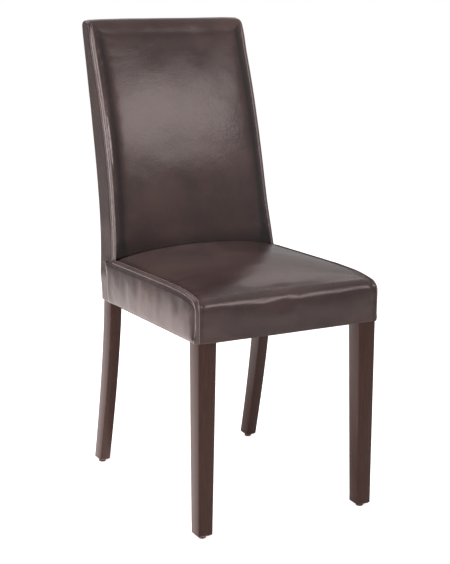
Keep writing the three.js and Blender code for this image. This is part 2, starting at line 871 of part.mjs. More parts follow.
const material = (color, roughness, metalness = 0) =>
  new THREE.MeshStandardMaterial({ color, roughness, metalness });
const stainedWood = () => material(0x3e2a22, 0.42);
const rawWood = () => material(0xc9a877, 0.7);
const plywood = () => material(0xb9935f, 0.75);
const leathercloth = () => material(0x453b39, 0.38);
const foam = () => material(0xe3d9b8, 0.95);
const blackCloth = () => material(0x1d1c1c, 0.9);
const glidePlastic = () => material(0x5a2b22, 0.45);
const zincSteel = () => material(0xb8b9b4, 0.35, 1);

// The chair

function named(name, solid, surface) {
  const mesh = new THREE.Mesh(geometryOf(solid), surface);
  mesh.name = name;
  return mesh;
}

const sideNames = { left: 1, right: -1 };

function footPlace(end, side) {
  if (end === "front") {
    return new THREE.Vector3(side * (sideFace - legFootSize / 2), frontFace + legFootSize / 2, 0);
  }
  const x = postOuterAt(glideHeight) - postFootWidth / 2;
  return new THREE.Vector3(side * x, postRearAt(glideHeight) - postFootDepth / 2, 0);
}

const upright = new THREE.Vector3(0, 0, 1);
const nailHole = (end, side) =>
  placed(glideBody(clearance), { position: footPlace(end, side), direction: upright });

function frontLegMesh(name, side) {
  const origin = new THREE.Vector3(side * sideFace, frontFace, 0);
  const cutters = [crossMortise(frontRail), sideTenonBody(side, clearance), nailHole("front", side)];
  const leg = cut(frontLegBody(side).translate(origin.toArray()), cutters);
  const mesh = named(name, leg.translate(origin.clone().negate().toArray()), stainedWood());
  mesh.position.copy(origin);
  return mesh;
}

function rearPostMesh(name, side) {
  const mortises = [crossMortise(rearRail), ...Object.values(backRails).map(backMortise)];
  const cutters = [...mortises, sideTenonBody(side, clearance), nailHole("rear", side)];
  return named(name, cut(postBody(side), cutters), stainedWood());
}

function glideMesh(name, end, side) {
  const mesh = named(name, glideBody(), glidePlastic());
  mesh.position.copy(footPlace(end, side));
  return mesh;
}

function frameGroup() {
  const group = new THREE.Group();
  for (const [name, side] of Object.entries(sideNames)) {
    group.add(
      frontLegMesh(`front_${name}_leg`, side),
      rearPostMesh(`rear_${name}_post`, side),
      glideMesh(`front_${name}_glide`, "front", side),
      glideMesh(`rear_${name}_glide`, "rear", side),
      named(`${name}_rail`, drilled(sideRailBody(side)), rawWood()),
    );
  }
  group.add(named("front_rail", drilled(crossRailBody(frontRail)), rawWood()));
  group.add(named("rear_rail", drilled(crossRailBody(rearRail)), rawWood()));
  for (const [name, rail] of Object.entries(backRails)) {
    group.add(named(name, backRailBody(rail), rawWood()));
  }
  return group;
}

function blockGroup() {
  const group = new THREE.Group();
  for (const corner of corners) {
    const place = `${corner.end}_${corner.side > 0 ? "left" : "right"}`;
    const [crossScrew, sideScrew] = blockScrews(corner);
    group.add(
      named(`${place}_corner_block`, blockBody(corner), rawWood()),
      screwMesh(`${place}_block_screw_cross`, screwLength, crossScrew),
      screwMesh(`${place}_block_screw_side`, screwLength, sideScrew),
    );
  }
  boardScrews.forEach((screw, i) => {
    group.add(screwMesh(`seat_board_screw_${i + 1}`, boardScrewLength, screw));
  });
  return group;
}

function screwMesh(name, length, place) {
  const mesh = named(name, screwBody(length), zincSteel());
  mesh.applyMatrix4(placementOf(place));
  return mesh;
}

function upholsteryGroup() {
  const group = new THREE.Group();
  const seat = seatPanels();
  const back = backPanels();
  group.add(
    named("seat_board", seatBoardBody(), plywood()),
    named("back_board", backBoardBody(), plywood()),
    named("seat_foam", seatFoamBody(), foam()),
    named("back_foam", backFoamBody(), foam()),
    named("seat_cover_strip", seat.strip, leathercloth()),
    named("seat_cover_left_band", seat.leftBand, leathercloth()),
    named("seat_cover_right_band", seat.rightBand, leathercloth()),
    named("back_cover_front", back.front, leathercloth()),
    named("back_cover_left_band", back.leftBand, leathercloth()),
    named("back_cover_right_band", back.rightBand, leathercloth()),
    named("back_cover_rear", back.rear, leathercloth()),
    named("dust_cover", dustCoverBody(), blackCloth()),
  );
  return group;
}

const chair = new THREE.Group();
chair.add(frameGroup(), blockGroup(), upholsteryGroup());

// The origin is on the floor, under the middle of the chair's bounding box
const bounds = new THREE.Box3().setFromObject(chair);
chair.position.y = -(bounds.min.y + bounds.max.y) / 2;

export default chair;
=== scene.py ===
import math

import bmesh
import bpy
import numpy as np
from mathutils import Matrix, Vector, noise


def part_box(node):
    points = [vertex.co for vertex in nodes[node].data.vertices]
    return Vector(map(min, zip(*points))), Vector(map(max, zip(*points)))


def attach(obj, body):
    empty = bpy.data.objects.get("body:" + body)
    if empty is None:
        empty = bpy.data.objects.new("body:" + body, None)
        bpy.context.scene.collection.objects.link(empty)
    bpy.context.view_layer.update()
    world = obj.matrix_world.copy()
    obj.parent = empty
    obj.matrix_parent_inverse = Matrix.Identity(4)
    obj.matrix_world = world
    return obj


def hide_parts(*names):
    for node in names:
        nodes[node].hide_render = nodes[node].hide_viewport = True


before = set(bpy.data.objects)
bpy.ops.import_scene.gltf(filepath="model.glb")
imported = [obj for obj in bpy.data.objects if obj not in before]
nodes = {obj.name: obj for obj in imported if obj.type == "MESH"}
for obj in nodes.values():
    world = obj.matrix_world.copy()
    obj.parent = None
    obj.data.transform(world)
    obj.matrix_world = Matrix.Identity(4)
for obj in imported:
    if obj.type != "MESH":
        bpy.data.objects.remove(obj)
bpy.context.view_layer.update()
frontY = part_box("seat_cover_strip")[0].y  # the cover's front face; depths count from here
print("frame loaded")

# The chair's own sizes in metres, as the frame was made; stand is how far the cover stands off the wood
chair = dict(
    height=1.0, half=0.208, topHalf=0.192, rear=0.4675, hem=0.408, hemFall=0.010, stand=0.0035,
    narrowFrom=0.4554, narrowing=5, hemRound=0.006, edgeRound=0.010, roundRise=0.026, roundTop=0.5015,
)


def mix(a, b, share):
    return a + (b - a) * share


def clamp(value, low=0.0, high=1.0):
    return np.minimum(high, np.maximum(low, value))


def smooth(value, low, high):
    share = clamp((value - low) / (high - low))
    return share * share * (3 - 2 * share)


def hemAt(depth):
    return chair["hem"] - chair["hemFall"] * depth / chair["rear"]


# Materials

def linear(code):
    # sRGB hex to linear
    parts = [int(code[i:i + 2], 16) / 255 for i in (1, 3, 5)]
    return tuple(p / 12.92 if p <= 0.04045 else ((p + 0.055) / 1.055) ** 2.4 for p in parts) + (1,)


def addNode(tree, kind, settings=None, links=None):
    # A link comes from an output, or from a node's first output
    node = tree.nodes.new("ShaderNode" + kind)
    for key, value in (settings or {}).items():
        if key == "stops":  # a ramp's places and hex colours
            ramp = node.color_ramp
            for i, (place, colour) in enumerate(value):
                stop = ramp.elements[i] if i < 2 else ramp.elements.new(place)
                stop.position = place
                stop.color = linear(colour)
        elif isinstance(key, int) or key in node.inputs:
            node.inputs[key].default_value = linear(value) if isinstance(value, str) else value
        else:
            setattr(node, key, value)
    for key, source in (links or {}).items():
        tree.links.new(source.outputs[0] if isinstance(source, bpy.types.Node) else source, node.inputs[key])
    return node


def newMaterial(name):
    material = bpy.data.materials.new(name)
    material.use_nodes = True
    tree = material.node_tree
    tree.nodes.clear()
    return material, tree, addNode(tree, "TexCoord").outputs["Object"]


def finishMaterial(material, tree, settings, links):
    shader = addNode(tree, "BsdfPrincipled", settings, links)
    addNode(tree, "OutputMaterial", links={"Surface": shader})
    return material


# The pale colour stands for rubbed skin and for painted highlight; the darkest colour is painted shade
leather = dict(
    dark="#2b2120", middle="#352928", light="#40322f", rubAndSheen="#595352", shade="#160f10",
    patch=0.150, rubAndSheenSpot=0.006, pebble=0.0022, crease=0.011, bend=0.025, wave=0.045,
    grain=0.16, grainDepth=0.0006, slack=0.14, slackDepth=0.004, shiniest=0.185, dullest=0.285,
)


def leathercloth():
    # Bonded leathercloth: leather fibre under an embossed polyurethane skin, glossy and a little hazy
    s = leather
    material, tree, place = newMaterial("leathercloth")
    at = {"Vector": place}
    patches = addNode(tree, "TexNoise", {"Scale": 1 / s["patch"], "Detail": 4.0}, at)
    base = addNode(tree, "ValToRGB", {"stops": [(0.30, s["dark"]), (0.72, s["light"]), (0.5, s["middle"])]},
                   {"Fac": patches})
    # The skin is paler where it is rubbed and where a highlight is painted, and darker where shade is painted;
    # the covers carry both as attributes
    rubAndSheen = addNode(tree, "Attribute", {"attribute_name": "rubAndSheen"}).outputs["Fac"]
    spots = addNode(tree, "TexNoise", {"Scale": 1 / s["rubAndSheenSpot"], "Detail": 3.0}, at)
    rubAndSheenShare = addNode(tree, "Math", {"operation": "MULTIPLY"}, {0: rubAndSheen, 1: spots})
    rubbedAndSheened = addNode(tree, "Mix", {"data_type": "RGBA", 7: s["rubAndSheen"]}, {0: rubAndSheenShare, 6: base}).outputs[2]
    paintedShade = addNode(tree, "Attribute", {"attribute_name": "paintedShade"}).outputs["Fac"]
    colour = addNode(tree, "Mix", {"data_type": "RGBA", 7: s["shade"]}, {0: paintedShade, 6: rubbedAndSheened}).outputs[2]
    # A grain of about 1 mm on the real one, drawn at 2.2 mm so that it shows
    pebble = addNode(tree, "TexVoronoi", {"feature": "SMOOTH_F1", "Scale": 1 / s["pebble"], "Smoothness": 0.6},
                     at)
    warp = addNode(tree, "TexNoise", {"Scale": 1 / s["bend"], "Detail": 2.0}, at)
    bent = addNode(tree, "Mix", {"data_type": "VECTOR", 0: 0.03}, {4: place, 5: warp.outputs["Color"]})
    crease = addNode(tree, "TexVoronoi", {"feature": "DISTANCE_TO_EDGE", "Scale": 1 / s["crease"]},
                     {"Vector": bent.outputs[1]})
    line = addNode(tree, "MapRange", {"From Min": 0.0, "From Max": 0.10, "To Min": 0.0, "To Max": 0.6},
                   {"Value": crease})
    height = addNode(tree, "Math", {"operation": "ADD"}, {0: pebble, 1: line})
    bump = addNode(tree, "Bump", {"Strength": s["grain"], "Distance": s["grainDepth"]}, {"Height": height})
    wave = addNode(tree, "TexNoise", {"Scale": 1 / s["wave"], "Detail": 2.0}, at)
    slack = addNode(tree, "Bump", {"Strength": s["slack"], "Distance": s["slackDepth"]},
                    {"Height": wave, "Normal": bump})
    gloss = addNode(tree, "MapRange", {"To Min": s["shiniest"], "To Max": s["dullest"]}, {"Value": patches})
    return finishMaterial(material, tree, {"IOR": 1.5},
                          {"Base Color": colour, "Roughness": gloss, "Normal": slack})


# Dark, middle and light colour; grain and fleck count the bands and pores in a metre along x, y and z
woods = dict(
    # Beech stained dark walnut under satin lacquer: fine upright grain and short dark flecks
    stainedBeech=dict(colours=("#1d100b", "#321a12", "#44271d"), grain=(620, 620, 22), fleck=(900, 900, 130),
                      shiniest=0.30, dullest=0.46, relief=0.25),
    # Planed beech, left bare inside the frame: matt, its grain along the rails
    planedBeech=dict(colours=("#a07a50", "#c8a478", "#dcbf95"), grain=(60, 420, 420), fleck=(130, 900, 900),
                     shiniest=0.62, dullest=0.78, relief=0.3),
    # Rotary cut birch plywood: pale, with a broad wavy figure
    birchPlywood=dict(colours=("#b48e5c", "#cdab78", "#dcc091"), grain=(18, 110, 110), fleck=(90, 600, 600),
                      shiniest=0.56, dullest=0.72, relief=0.2),
)


def wood(name):
    s = woods[name]
    dark, middle, light = s["colours"]
    material, tree, place = newMaterial(name)
    along = addNode(tree, "Mapping", {"Scale": s["grain"]}, {"Vector": place})
    bands = addNode(tree, "TexNoise", {"Scale": 1.0, "Detail": 6.0, "Roughness": 0.6, "Distortion": 0.6},
                    {"Vector": along})
    base = addNode(tree, "ValToRGB", {"stops": [(0.28, dark), (0.75, light), (0.52, middle)]}, {"Fac": bands})
    short = addNode(tree, "Mapping", {"Scale": s["fleck"]}, {"Vector": place})
    pores = addNode(tree, "TexVoronoi", {"Scale": 1.0, "Randomness": 1.0}, {"Vector": short})
    pore = addNode(tree, "MapRange", {"From Min": 0.10, "From Max": 0.30, "To Min": 0.55, "To Max": 0.0},
                   {"Value": pores})
    colour = addNode(tree, "Mix", {"data_type": "RGBA", 7: dark}, {0: pore, 6: base}).outputs[2]
    bump = addNode(tree, "Bump", {"Strength": s["relief"], "Distance": 0.0004, "invert": True},
                   {"Height": pore})
    gloss = addNode(tree, "MapRange", {"To Min": s["shiniest"], "To Max": s["dullest"]}, {"Value": bands})
    return finishMaterial(material, tree, {"IOR": 1.5, "Specular IOR Level": 0.34},
                          {"Base Color": colour, "Roughness": gloss, "Normal": bump})


def onePattern(name, pattern, stops, relief, settings):
    # A material whose colour and relief both follow one pattern; relief is the bump's strength and depth
    material, tree, place = newMaterial(name)
    cells = addNode(tree, *pattern, {"Vector": place})
    base = addNode(tree, "ValToRGB", {"stops": stops}, {"Fac": cells})
    bump = addNode(tree, "Bump", {"Strength": relief[0], "Distance": relief[1]}, {"Height": cells})
    return finishMaterial(material, tree, settings, {"Base Color": base, "Normal": bump})


def sewingThread():
    # Bonded polyester thread, twisted from three strands: a fleck for each turn of about 0.5 mm
    return onePattern("sewingThread", ("TexNoise", {"Scale": 1800.0, "Detail": 1.0}),
                      [(0.3, "#6e615d"), (0.7, "#a99d98")], (0.5, 0.0002),
                      {"Roughness": 0.45, "Sheen Weight": 0.2})


def cushionFoam():
    # Polyurethane foam cut from a block: matt, with open cells of about 1.4 mm
    return onePattern("cushionFoam", ("TexVoronoi", {"Scale": 700.0}),
                      [(0.0, "#c9bd93"), (0.6, "#efe6c6")], (0.6, 0.0006), {"Roughness": 0.95})


def mouldedNylon():
    # Nylon glide, injection moulded: reddish brown, faint flow marks and scuffs underneath
    return onePattern("mouldedNylon", ("TexNoise", {"Scale": 260.0, "Detail": 3.0}),
                      [(0.3, "#4d1f18"), (0.7, "#74352a")], (0.15, 0.0003), {"Roughness": 0.42, "IOR": 1.53})


def feltedCloth():
    # Spunbonded black polypropylene: flat fibres in every direction, welded at points about 2 mm apart
    material, tree, place = newMaterial("feltedCloth")
    fibres = addNode(tree, "TexNoise", {"Scale": 900.0, "Detail": 4.0, "Distortion": 2.0}, {"Vector": place})
    welds = addNode(tree, "TexVoronoi", {"Scale": 520.0, "Randomness": 0.1}, {"Vector": place})
    base = addNode(tree, "ValToRGB", {"stops": [(0.3, "#0f0f0f"), (0.75, "#333231")]}, {"Fac": fibres})
    height = addNode(tree, "Math", {"operation": "ADD"}, {0: fibres, 1: welds})
    bump = addNode(tree, "Bump", {"Strength": 0.5, "Distance": 0.0003}, {"Height": height})
    return finishMaterial(material, tree, {"Roughness": 0.85, "Sheen Weight": 0.3},
                          {"Base Color": base, "Normal": bump})


def zincPlate():
    # Zinc plated steel: bright, with duller patches of about 3 mm
    material, tree, place = newMaterial("zincPlate")
    patches = addNode(tree, "TexNoise", {"Scale": 350.0, "Detail": 3.0}, {"Vector": place})
    base = addNode(tree, "ValToRGB", {"stops": [(0.3, "#9a9c99"), (0.7, "#c9cac4")]}, {"Fac": patches})
    gloss = addNode(tree, "MapRange", {"To Min": 0.25, "To Max": 0.5}, {"Value": patches})
    return finishMaterial(material, tree, {"Metallic": 1.0}, {"Base Color": base, "Roughness": gloss})


finishes = dict(
    stained_wood=wood("stainedBeech"), raw_wood=wood("planedBeech"), plywood=wood("birchPlywood"),
    leathercloth=leathercloth(), foam=cushionFoam(), black_cloth=feltedCloth(),
    glide_plastic=mouldedNylon(), zinc_steel=zincPlate(),
)
thread = sewingThread()
print("materials made")


# Pieces

def addMesh(name, bm):
    mesh = bpy.data.meshes.new(name)
    bm.to_mesh(mesh)
    bm.free()
    return mesh


def addObject(name, data):
    item = bpy.data.objects.new(name, data)
    bpy.context.scene.collection.objects.link(item)
    return item


def addPiece(name, bm, slot, material=None):
    mesh = addMesh(name, bm)
    piece = addObject(name, mesh)
    mesh.materials.append(material or finishes[slot])
    mesh.polygons.foreach_set("use_smooth", [True] * len(mesh.polygons))
    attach(piece, "root")
    return piece


def applyModifiers(piece):
    graph = bpy.context.evaluated_depsgraph_get()
    mesh = bpy.data.meshes.new_from_object(piece.evaluated_get(graph), depsgraph=graph)
    old = piece.data
    piece.modifiers.clear()
    piece.data = mesh
    bpy.data.meshes.remove(old)


def addModifier(piece, kind, **settings):
    modifier = piece.modifiers.new(kind.lower(), kind)
    for key, value in settings.items():
        setattr(modifier, key, value)


def gridMesh(points, layers):
    # A grid whose vertices move to points[row, column] and get each layer's number from there
    rows, columns = points.shape[:2]
    bm = bmesh.new()
    held = {key: bm.verts.layers.float.new(key) for key in layers}
    made = bmesh.ops.create_grid(bm, x_segments=columns - 1, y_segments=rows - 1, size=1)
    for vert in made["verts"]:
        column = round((vert.co.x + 1) / 2 * (columns - 1))
        row = round((vert.co.y + 1) / 2 * (rows - 1))
        vert.co = points[row, column]
        for key, layer in held.items():
            vert[layer] = layers[key][row, column]
    return bm


def cornerRound(z):
    # The covers' side edges are rounder above the seat's top than at the hem
    rise = smooth(z, chair["roundTop"] - chair["roundRise"], chair["roundTop"])
    return mix(chair["hemRound"], chair["edgeRound"], rise)


def directions(line):
    turn = np.gradient(line, axis=0)
    return turn / np.maximum(np.linalg.norm(turn, axis=1), 1e-9)[:, None]


def insetChain(chain, distance):
    # Side view points moved inwards, which is to the right of their direction
    turn = directions(chain)
    return chain + np.stack([turn[:, 1], -turn[:, 0]], 1) * np.asarray(distance)[:, None]


def steps(start, end, count, power=1.0, last=False):
    # Places from start to end, without the end unless last says so
    shares = (np.arange(count + last) / count) ** power
    return mix(start, end, shares)


# Side view of the back

back = dict(
    knee=0.395, kneeEase=0.050, slope=0.21, bow=0.010, postDepth=0.039, stileTopDepth=0.022, lap=0.005,
    foot=0.481025, footDepth=0.064, topDepth=0.041, belly=0.022, crown=0.003, nose=0.015,
    topRound=0.012, topRoll=0.021, stripTop=0.4735, stileTop=0.988, ease=0.0065, seamAt=math.radians(36),
)


def backHalfAt(z):
    # Half of the back's width at a height
    share = clamp((chair["height"] - z) / (chair["height"] - chair["narrowFrom"]))
    return chair["topHalf"] + (chair["half"] - chair["topHalf"]) * share ** chair["narrowing"]


def backRearAt(z):
    # The rear face, which leans back above the knee and bows a little
    rise = np.maximum(z - back["knee"], 0)
    above = np.maximum(rise - back["kneeEase"], 0)
    bend = np.minimum(rise, back["kneeEase"]) ** 2 / (2 * back["kneeEase"])
    bow = (above / (chair["height"] - back["knee"] - back["kneeEase"])) ** 2
    return chair["rear"] + chair["stand"] + back["slope"] * (bend + above) + back["bow"] * bow


def bandFrontAt(z):
    # The front edge of the cover on the posts' sides
    share = clamp((z - back["knee"]) / (chair["height"] - back["knee"]))
    depth = back["postDepth"] - (back["postDepth"] - back["stileTopDepth"]) * share
    return backRearAt(z) - chair["stand"] - depth - back["lap"]


def backFrontAt(z):
    # The cushion's front face
    share = (z - back["foot"]) / (chair["height"] - back["foot"])
    depth = mix(back["footDepth"], back["topDepth"], share) + back["belly"] * 4 * share * (1 - share)
    return backRearAt(z) - depth


noseTop = back["foot"] + back["nose"]
noseDepth = backFrontAt(noseTop) + back["nose"]


def backFaceAt(z):
    # The foremost of the back at a height, its rounded lower end too
    onNose = noseDepth - np.sqrt(np.maximum(back["nose"] ** 2 - (noseTop - z) ** 2, 0))
    under = mix(bandFrontAt(z), noseDepth, clamp((z - back["stripTop"]) / (back["foot"] - back["stripTop"])))
    return np.where(z > noseTop, backFrontAt(z), np.where(z > back["foot"], onNose, under))


# Covers: one grid over each cushion, stretched by simulation, then cut into panels along its seams

cover = dict(
    seamAngle=30, rounds=6, nearSeam=(0.0025, 0.005, 0.008, 0.0115, 0.0155, 0.020, 0.026, 0.033),
    across=0.0075, flatHalf=0.19, thickness=0.0012, hemRoll=0.0016, hemUp=0.005, hemNear=0.0008,
    easeWidth=0.038, onPanel=(0.004, 0.010), onBand=(0.006, 0.012), free=(0.007, 0.022), allowance=0.008,
)
seamAngle = math.radians(cover["seamAngle"])


def acrossSlices():
    # Places across a cushion as (side, angle on its rounded edge, share of its flat), left to right
    half = cover["flatHalf"]
    near = np.array([0, *cover["nearSeam"]])
    rest = near[-1] + steps(0, half - near[-1], round((half - near[-1]) / cover["across"]), last=True)[1:]
    share = 1 - np.concatenate([near, rest]) / half
    shares = np.concatenate([-share, share[::-1][1:]])
    angles = np.radians(np.linspace(90, 0, cover["rounds"] + 1))[:-1]
    ends = [[(side, a, side) for a in angles] for side in (-1, 1)]
    return ends[0] + [(0, 0.0, f) for f in shares] + ends[1][::-1]


def ringOf(chain, rounds, half, side, angle, share, seamAt=seamAngle, ease=0.0):
    # A side view line placed across a cushion, on its flat, which falls by ease, or on its rounded edge
    lean = np.arctan(2 * ease / cover["easeWidth"])
    if angle <= seamAngle:
        turn = mix(lean, seamAt, angle / seamAngle)
    else:
        turn = mix(seamAt, math.pi / 2, (angle - seamAngle) / (math.pi / 2 - seamAngle))
    flatHalf = half - rounds * (1 - np.sin(lean))
    if side:
        x = side * (flatHalf + rounds * (np.sin(turn) - np.sin(lean)))
        inset = ease + rounds * (np.cos(lean) - np.cos(turn))
        away = rounds * (seamAt - turn)
    else:
        x = share * flatHalf
        fromEdge = (1 - abs(share)) * flatHalf
        inset = ease * (1 - clamp(fromEdge / cover["easeWidth"])) ** 2
        away = rounds * (seamAt - lean) + fromEdge
    moved = insetChain(chain, inset)
    return np.stack([x, moved[:, 0], moved[:, 1]], 1), away


def inFrame(points):
    # Depths from the cover's front face become the frame's own y
    moved = np.array(points, float)
    moved[..., 1] += frontY
    return moved


def alongOf(line):
    # Length along a line, at each of its points
    return np.concatenate([[0], np.cumsum(np.linalg.norm(np.diff(line, axis=0), axis=1))])


def weld(bm):
    bmesh.ops.remove_doubles(bm, verts=bm.verts, dist=1e-6)
    bmesh.ops.dissolve_degenerate(bm, edges=bm.edges, dist=1e-7)
    bmesh.ops.recalc_face_normals(bm, faces=bm.faces)


def values(mesh, key):
    out = np.zeros(len(mesh.vertices), np.float32)
    mesh.attributes[key].data.foreach_get("value", out)
    return out.astype(float)


def setValues(mesh, key, data):
    layer = mesh.attributes.get(key) or mesh.attributes.new(key, "FLOAT", "POINT")
    layer.data.foreach_set("value", np.asarray(data, np.float32))


def meshArrays(mesh):
    co = np.zeros(len(mesh.vertices) * 3, np.float32)
    mesh.vertices.foreach_get("co", co)
    normal = np.zeros(len(mesh.vertices) * 3, np.float32)
    mesh.vertex_normals.foreach_get("vector", normal)
    return co.reshape(-1, 3).astype(float), normal.reshape(-1, 3).astype(float)


def placeVertices(mesh, co):
    mesh.vertices.foreach_set("co", co.ravel().astype(np.float32))
    mesh.update()


def noiseAt(points, size, stretch=(1, 1, 1), seed=0.0):
    scaled = points * np.array(stretch) / size + seed
    return np.array([noise.noise(Vector(p)) for p in scaled])


def noiseOn(a, b, size, seed):
    return noiseAt(np.stack([a, b, np.zeros(len(a))], 1), size, seed=seed)


def hill(value, middle, width):
    return np.exp(-((value - middle) / width) ** 2)


def bySeam(away, fade):
    # Shares for a panel, for the side band and for what lies near the seam between them
    near = np.exp(-np.maximum(0, np.abs(away) - cover["allowance"]) / fade)
    return smooth(away, *cover["onPanel"]), smooth(-away, *cover["onBand"]), near


def simulate(piece, pins, kept, settings):
    # Cloth under pressure, without gravity; pins are weights, and kept is the share of its move a vertex keeps
    group = piece.vertex_groups.new(name="pins")
    for index, weight in enumerate(pins):
        group.add([index], float(weight), "REPLACE")
    start, _ = meshArrays(piece.data)
    cloth = piece.modifiers.new("cloth", "CLOTH")
    made = cloth.settings
    made.vertex_group_mass = "pins"
    made.use_pressure = True
    made.uniform_pressure_force = settings["pressure"]
    made.effector_weights.gravity = 0
    made.tension_stiffness = made.compression_stiffness = settings["stiffness"]
    made.shear_stiffness = settings["stiffness"] / 2
    made.bending_stiffness = settings["bending"]
    made.shrink_min = -settings["spare"]
    made.quality = 6
    cloth.collision_settings.use_collision = False
    for number in range(1, settings["frames"] + 1):
        bpy.context.scene.frame_set(number)
    applyModifiers(piece)
    bpy.context.scene.frame_set(1)
    moved, _ = meshArrays(piece.data)
    shift = moved - start
    length = np.linalg.norm(shift, axis=1)
    shift *= (kept * np.minimum(length, settings["cap"]) / np.maximum(length, 1e-9))[:, None]
    placeVertices(piece.data, start + shift)
    print("  cloth moved up to", round(float(length.max()) * 1000, 1), "mm, usually",
          round(float(np.median(length)) * 1000, 2), "mm")


def subdivide(piece):
    addModifier(piece, "SUBSURF", levels=1, render_levels=1)
    applyModifiers(piece)


def splitPanels(piece, names):
    # A panel of its own for each material index
    for index, (name, replaced) in enumerate(names):
        bm = bmesh.new()
        bm.from_mesh(piece.data)
        bmesh.ops.delete(bm, geom=[f for f in bm.faces if f.material_index != index], context="FACES")
        for face in bm.faces:
            face.material_index = 0
        rollHem(bm)
        panel = addPiece(name, bm, "leathercloth")
        addModifier(panel, "SOLIDIFY", thickness=cover["thickness"], offset=-1)
        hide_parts(replaced)
    bpy.data.objects.remove(piece)


def rollHem(bm):
    # The hem is turned in and up, inside the cover
    bm.normal_update()
    hem = [e for e in bm.edges if e.is_boundary and all(
        abs(v.co.z - hemAt(v.co.y - frontY)) < cover["hemNear"] for v in e.verts)]
    for inwards, upwards in (cover["hemRoll"], 0.0), (0.0, cover["hemUp"]):
        made = bmesh.ops.extrude_edge_only(bm, edges=hem)["geom"]
        hem = [g for g in made if isinstance(g, bmesh.types.BMEdge)]
        for v in {v for e in hem for v in e.verts}:
            source = next((e.other_vert(v) for e in v.link_edges if e not in hem), v)
            n = Vector((source.normal.x, source.normal.y, 0))
            if n.length > 1e-6:
                v.co -= n.normalized() * inwards
            v.co.z += upwards


# The seam's crest is painted paler, partly rub and partly painted highlight; the stitch rows get painted
# highlight lines
ridge = dict(
    half=0.0060, height=0.0006, flat=0.010, groove=0.0005, grooveWidth=0.0008, sink=0.0008, thickness=0.0009,
    spacing=0.0015, columns=15, stitchRow=0.0044, rowWidth=0.0009, pitch=0.0046, stitchLength=0.0036,
    stitchRadius=0.0005, dent=0.0004, unevenSize=0.035, uneven=0.25, rubAndSheen=0.55, rubAndSheenLift=0.001, rowHighlight=0.4,
)


def surfaceOf(chain, rounds, half, seamAt=seamAngle, ease=0.0):
    # Places on a cushion near its side seams, by distance across (u, towards the middle) and along (v) them
    along = alongOf(chain)
    turn = directions(chain)
    columns = np.broadcast_arrays(*chain.T, *turn.T, rounds, half, seamAt, ease)

    def at(u, v, side):
        depth, z, goes, rises, r, wide, seam, fall = [np.interp(v, along, c) for c in columns]
        lean = np.arctan(2 * fall / cover["easeWidth"])
        angle = clamp(seam - u / r, lean, math.pi / 2)
        onFlat = np.maximum(0, u - r * (seam - lean))
        rest = 1 - clamp(onFlat / cover["easeWidth"])
        inset = fall * rest ** 2 + r * (np.cos(lean) - np.cos(angle))
        inset = inset + np.maximum(0, -u - r * (math.pi / 2 - seam))
        x = side * (wide - r * (1 - np.sin(angle)) - onFlat)
        tilt = np.where(onFlat > 0, np.arctan(np.tan(lean) * rest), angle)
        point = np.stack([x, depth + rises * inset + frontY, z - goes * inset], -1)
        return point, np.stack([side * np.sin(tilt), -rises * np.cos(tilt), goes * np.cos(tilt)], -1)

    return at, along


def evenPath(corners, spacing):
    line = np.array(corners, float)
    along = alongOf(line)
    even = np.linspace(0, along[-1], max(2, round(along[-1] / spacing)) + 1)
    return np.stack([np.interp(even, along, line[:, k]) for k in range(2)], 1)


def seamGrid(at, corners, side, spacing, offsets):
    # Points and normals over a strip along a path
    path = evenPath(corners, spacing)
    turn = directions(path)
    u = path[:, :1] + turn[:, 1:] * offsets[None, :]
    v = path[:, 1:] - turn[:, :1] * offsets[None, :]
    return at(u, v, side)


def bandLift(offsets, scale, high):
    # The seam allowance is stiff: it stays flat where the cushion's edge turns away from it
    rim = smooth(1 - np.abs(offsets) / (ridge["half"] * scale), 0.0, 0.22)
    return rim * high * (ridge["height"] * scale + offsets ** 2 / (2 * ridge["flat"]))


def flattened(even, ends):
    # The share of its height that a seam keeps; ends has (length, share kept) for each end
    share = 1.0
    for place, (length, keep) in zip((even, even[-1] - even), ends):
        share = share * mix(1.0, keep, 1 - smooth(place, 0.0, length))
    return share


def addSeam(name, at, corners, side, ends, stitched=True, scale=1.0, high=1.0, rubbedAndSheened=1.0):
    # A raised seam allowance, with two rows of stitches where it is topstitched
    half = ridge["half"] * scale
    offsets = half * np.sin(np.linspace(-math.pi / 2, math.pi / 2, ridge["columns"]))
    points, normals = seamGrid(at, corners, side, ridge["spacing"], offsets)
    even = alongOf(points[:, len(offsets) // 2])
    share = offsets / half
    dome = bandLift(offsets, scale, high)
    dome -= ridge["groove"] * scale * hill(offsets, 0, ridge["grooveWidth"] * scale)
    lift = np.tile(dome, (len(even), 1))
    if stitched:
        row = hill(np.abs(offsets), ridge["stitchRow"], ridge["rowWidth"])
        pull = (np.cos(2 * math.pi * even / ridge["pitch"]) * 0.5 + 0.5)[:, None]
        lift -= ridge["dent"] * row[None, :] * (0.4 + pull)
        lift += ridge["dent"] * 0.7 * (1 - row[None, :]) * pull * (np.abs(share) < 0.95)[None, :]
    uneven = noiseAt(points[:, 0], ridge["unevenSize"], seed=scale)
    lift *= (1 + ridge["uneven"] * uneven)[:, None]
    lift *= flattened(even, ends)[:, None]
    # Paler where the crest stands up, partly rub and partly painted highlight; where stitched, painted
    # highlight lines along the rows
    rubAndSheen = clamp(lift / (ridge["rubAndSheenLift"] * scale)) * (ridge["rubAndSheen"] + 0.3 * clamp(uneven))[:, None] * rubbedAndSheened
    if stitched:
        rubAndSheen += ridge["rowHighlight"] * max(0, 1 - rubbedAndSheened) * row[None, :]
    lift[:, [0, -1]] = -ridge["sink"]
    bm = gridMesh(points + normals * lift[..., None], {"rubAndSheen": rubAndSheen})
    centre = len(even) // 2, len(offsets) // 2
    middle = Vector(points[centre])
    nearest = min(bm.faces, key=lambda f: (f.calc_center_median() - middle).length)
    nearest.normal_update()
    if nearest.normal.dot(Vector(normals[centre])) < 0:
        bmesh.ops.reverse_faces(bm, faces=bm.faces)
    addModifier(addPiece(name, bm, "leathercloth"), "SOLIDIFY", thickness=ridge["thickness"], offset=-1)
    if stitched:
        addStitches(name + "_stitches", at, corners, side, high, ends)


